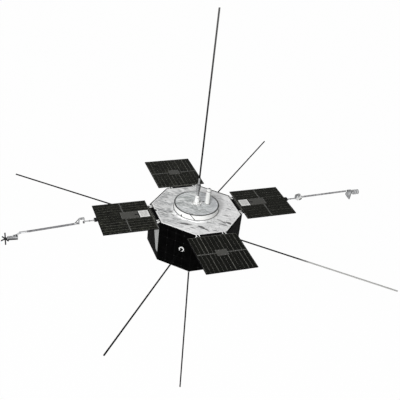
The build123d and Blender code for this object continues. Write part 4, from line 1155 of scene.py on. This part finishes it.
def makeCheekFaces(shift, face):
    # rim, hub, spokes and an end stop on the outer face of both cheek plates: each is turned about the plate's middle
    (x, z), outer, inner, hubRadius = cheek["middle"], cheek["radius"], cheek["radius"] - cheek["rim"], cheek["hub"]
    rim = turn([(inner, 0.0), (inner + 0.001, 0.0022), (outer - 0.0006, 0.0022), (outer + 0.0006, 0.0006),
                (outer + 0.0006, -0.0045), (outer - 0.0004, -0.0045), (outer - 0.0004, 0.0)], 64, "sensor", wrap=True)
    hub = collar([(hubRadius, 0.0), (hubRadius, 0.0020), (hubRadius - 0.002, 0.0030), (0.012, 0.0030), (0.012, 0.0)],
                 36, "black")
    web = collar([(0.0120, 0.0), (0.0120, 0.0008), (inner, 0.0008), (inner, 0.0)], 64, "white")
    lining = collar([(0.0160, 0.0), (0.0160, 0.0005), (outer - 0.002, 0.0005), (outer - 0.002, 0.0)], 64, "white")
    lays = [about(360 * k / cheek["spokes"] + math.degrees(0.35)) @ at(0.037, 0, 0) for k in range(cheek["spokes"])]
    spokes = copies(block(0.050, 0.0040, 0.0024, 0.001, 0.0005, "sensor"), lays)
    stop = block(0.062, 0.026, 0.006, 0.003, 0.001, "black")
    faces = []
    for s in (-1, 1):
        faces += moved([rim, web, spokes], at(x, shift + s * face, z, turnX=-90 * s))
        faces.append(placed(lining, x, shift + s * 0.025, z, turnX=90 * s))
        faces.append(placed(hub, boom["pin"][0], shift + s * face, boom["pin"][1], turnX=-90 * s))
        faces.append(placed(stop, 2.462, shift + s * face, 1.006, turnY=-30, turnX=-90 * s))
    return faces


def makeArmTrim(side):
    # bracket bolts, arm collars, fork screws and pin heads, with cheek faces on the right and a catch on the left
    shift, (pinX, pinZ), face, arm = boomShift[side], boom["pin"], boom[side]["face"], boom["armRadius"]
    bolt = screwHead(0.0045, 0.0035, "steel", 10)
    bits = [placed(bolt, 2.101, shift + y, z, turnY=90) for z in (1.0155, 1.0445) for y in (0.0345, -0.0345)]
    seat = block(0.034, 0.030, 0.003, 0.002, 0.0008, "black")
    bits += [placed(seat, 2.1125, shift - s * 0.042, 1.030, turnX=90 * s) for s in (1, -1)]
    collars = ((2.140, "steel", [(0, 0), (0.008, 0), (0.008, 0.006), (0.004, 0.009), (0.004, 0.018), (0, 0.020)]),
               (2.225, "black", [(0, 0), (0.003, 0.001), (0.003, 0.010), (0, 0.011)]),
               (2.310, "steel", [(0, 0), (0.0035, 0.002), (0.006, 0.025), (0, 0.026)]))
    for x, material, steps in collars:
        profile = [(arm - 0.0002 + r, h) for r, h in steps]
        bits.append(placed(collar(profile, 24, material), x, shift, boom["armLevel"], turnY=90))
    pinHead = turn([(0.0118, 0), (0.0118, 0.002), (0.0095, 0.0035), (0.0062, 0.0035), (0.0055, 0.006), (0.001, 0.0065)],
                   20, "black")
    for s in (-1, 1):
        bits.append(placed(pinHead, pinX, shift + s * face, pinZ, turnX=-90 * s))
        bits.append(placed(screwHead(0.0032, 0.003, sides=8), 2.342, shift + s * 0.0165, 1.108))
        bits.append(placed(screwHead(0.0035, 0.003, "black", 8), 2.366, shift + s * 0.021, 1.094, turnX=-90 * s))
    if side == "right":
        bits += makeCheekFaces(shift, face)
    else:
        drum = turn([(0.001, -0.024), (0.012, -0.024), (0.0165, -0.020), (0.0165, 0.020), (0.012, 0.024),
                     (0.001, 0.024)], 28, "black")
        axle = turn([(0.006, -0.029), (0.0072, -0.028), (0.0072, 0.028), (0.006, 0.029)], 20, "steel")
        bits += moved([drum, axle], at(2.350, shift, 0.999, turnX=90))
        bits.append(placed(block(0.018, 0.030, 0.014, 0.002, 0.001, "black"), 2.345, shift, 1.000))
    makePiece(f"{side}ArmTrim", moved(bits, about(panelTurn[side])), f"{side}_panel")


def makeBoomTrim(side):
    # knuckle screws and braces, then ferrule, tip sleeve, leads and tapes along the tube
    shift, start, r, (tipX, tipZ) = boomShift[side], boom[side]["start"], boom["radius"], boom[side]["tip"]
    rise = math.atan2(tipZ - start, tipX - boom["begin"])
    length, run = math.hypot(tipX - boom["begin"], tipZ - start), Vector((math.cos(rise), 0, math.sin(rise)))
    base, top = Vector((boom["begin"], shift, start)), start + r
    knuckleScrew = screwHead(0.0038, 0.003, "black", 8)
    bits = [placed(screwHead(0.004, 0.003, "black", 8), 2.456, shift, start + 0.030, turnY=90)]
    for s in (-1, 1):
        # brace from under the pin down to the boom's back: a bar whose ends lie on the line between its two points
        low = Vector((2.456 + (1.089 - top) * 0.8, shift + s * 0.0075, top - 0.003))
        high = Vector((2.450, shift + s * 0.0075, 1.091))
        bar = [[(u * 0.0045, v * 0.0022, h) for u, v in ((-1, -1), (1, -1), (1, 1), (-1, 1))]
               for h in (0.0, (high - low).length)]
        bits += moved([loft(bar, "caseDark")], facing(low, high - low))
    bits += [placed(knuckleScrew, 2.445, shift + s * 0.013, start, turnX=-90 * s) for s in (-1, 1)]
    ferrule = collar([(r - 0.0002, 0), (r + 0.0022, 0), (r + 0.0022, 0.030), (r + 0.0010, 0.034), (r - 0.0002, 0.0345)],
                     28, "steel")
    bits += moved([ferrule], facing(base + run * 0.040, run))
    reach, back, material = boom[side]["sleeve"]
    tipSleeve = collar([(r - 0.0002, 0), (r + 0.001, 0.001), (r + 0.0022, 0.005), (r + 0.0022, reach),
                        (r - 0.0002, reach + 0.001)], 28, material)
    bits += moved([tipSleeve], facing(base + run * (length - back), run))
    if side == "left":
        # two leads strapped along the pale end, one above at the back, one below at the front; their dark lines also
        # paint the shade along the pale end's top and bottom edges
        t, off = np.linspace(length - 0.215, length - 0.004, 40)[:, None], r + 0.0010
        bits += [tube(np.array(base) + t * np.array(run) + (0, s * 0.53 * off, s * 0.85 * off), 0.0040, 8, "sleeve")
                 for s in (-1, 1)]
    tape = hoop(0.0072, r - 0.0002, r + 0.0006, 0.0072, 24, "tape", 0.0006)
    stops = np.arange(0.11, length - 0.16, boom["bandPitch"])
    bits.append(copies(tape, [facing(base + run * float(d), run) for d in stops]))
    # thin sensor lead held along the tube's underside by the tapes: it strays sideways by two small sines
    t = np.linspace(0.05, length - 0.16, 90)
    stray = 0.0004 * np.sin(t * 47) + 0.0006 * np.sin(t * 19 + 1)
    lead = np.stack([base.x + t * run.x, shift + 0.006 + stray, base.z + t * run.z - r - 0.0004], -1)
    bits.append(tube(lead, 0.0021, 6, "sleeve"))
    makePiece(f"{side}BoomTrim", moved(bits, about(panelTurn[side])), f"{side}_boom")


for side in boomSides:
    makeArmTrim(side)
    makeBoomTrim(side)


# the case has a high part towards the body and a low part outside it; levels are from the case's middle
caseTrim = {"middle": (3.735, 0.02, 0.871), "turn": -5.0, "high": 0.031, "low": 0.009}


def makeCaseTrim():
    # connectors and screws on both top faces, covers on the sides and ends, thin lids, and seam beads at two levels
    high, low = caseTrim["high"], caseTrim["low"]
    connector = turn([(0.0115, 0), (0.0115, 0.003), (0.0092, 0.004), (0.0092, 0.011), (0.0078, 0.012), (0.0075, 0.006),
                      (0.001, 0.006)], 20, "black")
    small = turn([(0.0075, 0), (0.0075, 0.006), (0.006, 0.007), (0.001, 0.007)], 16, "black")
    bits = [copies(connector, [at(-0.075, 0.020, high), at(-0.075, -0.018, high), at(-0.040, 0.0, high)]),
            copies(small, [at(0.030, -0.022, low), at(0.062, 0.018, low)])]
    screws = [at(x, y, z) for xs, z in (((-0.091, -0.014), high), ((0.006, 0.050, 0.091), low)) for x in xs
              for y in (-0.036, 0.036)]
    bits.append(copies(screwHead(0.0035, 0.0025, sides=10), screws))
    for s in (-1, 1):
        # a cover on each long side, held by four screws
        cover = block(0.178, 0.034, 0.0022, 0.002, 0.0008, "caseDark")
        bits.append(placed(cover, 0.0, s * 0.0425, -0.012, turnX=-90 * s))
        sideScrews = [at(x, s * 0.0447, -0.012, turnX=-90 * s) for x in (-0.08, -0.027, 0.027, 0.08)]
        bits.append(copies(screwHead(0.003, 0.002, sides=8), sideScrews))
    bits.append(placed(block(0.002, 0.080, 0.034, 0.0008, 0.0005, "caseDark"), 0.0985, 0, -0.029))
    bits.append(placed(block(0.002, 0.082, 0.056, 0.0008, 0.0005, "caseDark"), -0.0985, 0, -0.028))
    bits.append(placed(block(0.070, 0.074, 0.0016, 0.004, 0.0006, "sensor"), -0.0555, 0, high - 0.0002))
    bits.append(placed(block(0.096, 0.074, 0.0016, 0.004, 0.0006, "sensor"), 0.044, 0, low - 0.0002))
    # seam beads: one round the whole case, one round its high part
    for z, length, x in ((-0.031, 0.1950, 0.0), (0.0305, 0.080, -0.0525)):
        outline = roundedOutline(length, 0.085, 0.001, 2) + (x, 0)
        bits.append(tube(np.column_stack([outline, np.full(len(outline), z)]), 0.0013, 6, "sensor", wrap=True))
    place = about(panelTurn["left"]) @ at(*caseTrim["middle"], turnZ=caseTrim["turn"])
    makePiece("leftSensorCaseTrim", moved(bits, place), "left_boom")


coilTrim = {"centre": (3.871, 0.0, 0.844), "radius": 0.0118, "halfHeight": 0.136, "halfReach": 0.094, "turn": 31.0,
            "ridgePitch": 0.0105}


def makeCoilTrim():
    # ridges of tape at even steps along the six half cores, a cap on each, and screws on the middle block's faces
    radius, centre = coilTrim["radius"], Vector(coilTrim["centre"])
    ridge = hoop(0, radius, 0.0131, 0.0032, 18, "coil")
    cap = turn([(radius, -0.008), (0.0142, -0.007), (0.0142, -0.001), (0.0125, 0.0), (0.001, 0.0)], 20, "black",
               (False, True))
    bits = []
    c, s = math.cos(math.radians(coilTrim["turn"])), math.sin(math.radians(coilTrim["turn"]))
    for way, reach in (((0, 0, 1), coilTrim["halfHeight"]), ((c, s, 0), coilTrim["halfReach"]),
                       ((-s, c, 0), coilTrim["halfReach"])):
        for run in (-Vector(way), Vector(way)):
            stops = np.arange(0.032, reach - 0.012, coilTrim["ridgePitch"])
            bits.append(copies(ridge, [facing(centre + run * float(d), run) for d in stops]))
            bits += moved([cap], facing(centre + run * reach, run))
    plates = [at(*centre, turnZ=coilTrim["turn"] + 90 * k) @ at(0.022, 0, 0, turnY=90) for k in range(4)]
    spots = [plate @ at(u, v, 0) for plate in plates for u in (-0.016, 0.016) for v in (-0.016, 0.016)]
    bits.append(copies(screwHead(0.0035, 0.0025, sides=8), spots))
    makePiece("leftCoilTrim", moved(bits, about(panelTurn["left"])), "left_boom")


# the housing's outline from the side, as distance out and level, and where its side screws go
housingTrim = {"outline": ((3.664, 1.0729), (3.756, 1.0729), (3.756, 1.019), (3.744, 0.858), (3.728, 0.858),
                           (3.644, 0.962)),
               "screws": ((3.676, 1.060), (3.742, 1.060), (3.744, 1.020), (3.734, 0.876), (3.660, 0.962),
                          (3.692, 0.918)),
               "half": 0.036}


def makeHousingTrim():
    # an edge bead on each side face, a flange where it clasps the boom, side screws and a blank cover plate
    outline, y = np.array(housingTrim["outline"]), boomShift["right"]
    steps = np.concatenate([np.linspace(a, b, 8, endpoint=False) for a, b in zip(outline, np.roll(outline, -1, 0))])
    sides = [(y + s * housingTrim["half"], -90 * s) for s in (-1, 1)]
    bits = [tube(np.insert(steps, 1, side, 1), 0.0016, 6, "sensor", (0, 1, 0), wrap=True) for side, _ in sides]
    for side, turnX in sides:
        screws = [at(x, side, z, turnX=turnX) for x, z in housingTrim["screws"]]
        bits.append(copies(screwHead(0.0036, 0.0024, sides=10), screws))
        bits.append(placed(block(0.066, 0.062, 0.0020, 0.004, 0.0006, "drum"), 3.704, side, 1.016, turnX=turnX))
        edge = [(3.7535, 1.062), (3.7535, 1.019), (3.7465, 0.930), (3.7420, 0.870), (3.7280, 0.860)]
        bits.append(tube(np.insert(edge, 1, side, 1), 0.0042, 8, "caseDark", (0, 1, 0)))      # sealant, outer edge
    bits += [placed(block(0.010, 0.064, 0.004, 0.0015, 0.0008, "sensor"), x, y, 1.0729) for x in (3.668, 3.750)]
    flange = collar([(0.0188, 0), (0.0240, 0.001), (0.0240, 0.014), (0.0188, 0.015)], 24, "black")
    bits += moved([flange], facing((3.648, y, 1.0702), (1, 0, 0.0253)))
    makePiece("rightHousingTrim", bits, "right_boom")


drumTrim = {"start": 3.810, "level": 1.019, "screwCircle": 0.044, "ribs": 12}


def makeDrumTrim():
    # three bands, screws on both ends, an end plate, the neck's ring, and ribs at even steps round the drum
    x0, y, z = drumTrim["start"], boomShift["right"], drumTrim["level"]
    bits = [placed(hoop(0, 0.0525, r, 0.004, 48, "caseDark"), x0 + x, y, z, turnY=90)
            for x, r in ((0.004, 0.0555), (0.064, 0.0542), (0.122, 0.0555))]
    inner, outer = x0 + 0.0005, x0 + 0.1275
    spots = [(y + u, z + v) for u, v, _ in circle(8, drumTrim["screwCircle"])]
    bits.append(copies(screwHead(0.0038, 0.0022, sides=10), [at(outer, *spot, turnY=90) for spot in spots]))
    plate = turn([(0.030, 0), (0.030, 0.0018), (0.024, 0.0022), (0.012, 0.0022), (0.001, 0.0022)], 32, "caseDark")
    bits.append(placed(plate, outer, y, z, turnY=90))
    bits.append(copies(screwHead(0.0038, 0.003, sides=10), [at(inner, *spot, turnY=-90) for spot in spots]))
    neck = collar([(0.0295, -0.003), (0.0330, -0.002), (0.0330, 0.004), (0.0295, 0.005)], 32, "black")
    bits.append(placed(neck, 3.7995, y, z, turnY=90))
    ribs = [at(x0 + 0.034, y, z, turnX=360 * k / drumTrim["ribs"]) @ at(0, 0, 0.0527) for k in range(drumTrim["ribs"])]
    bits.append(copies(block(0.046, 0.006, 0.0014, 0.001, 0.0004, "sensor", 2), ribs))
    makePiece("rightDrumTrim", bits, "right_boom")


makeCaseTrim()
makeCoilTrim()
makeHousingTrim()
makeDrumTrim()
print("booms and instruments dressed")
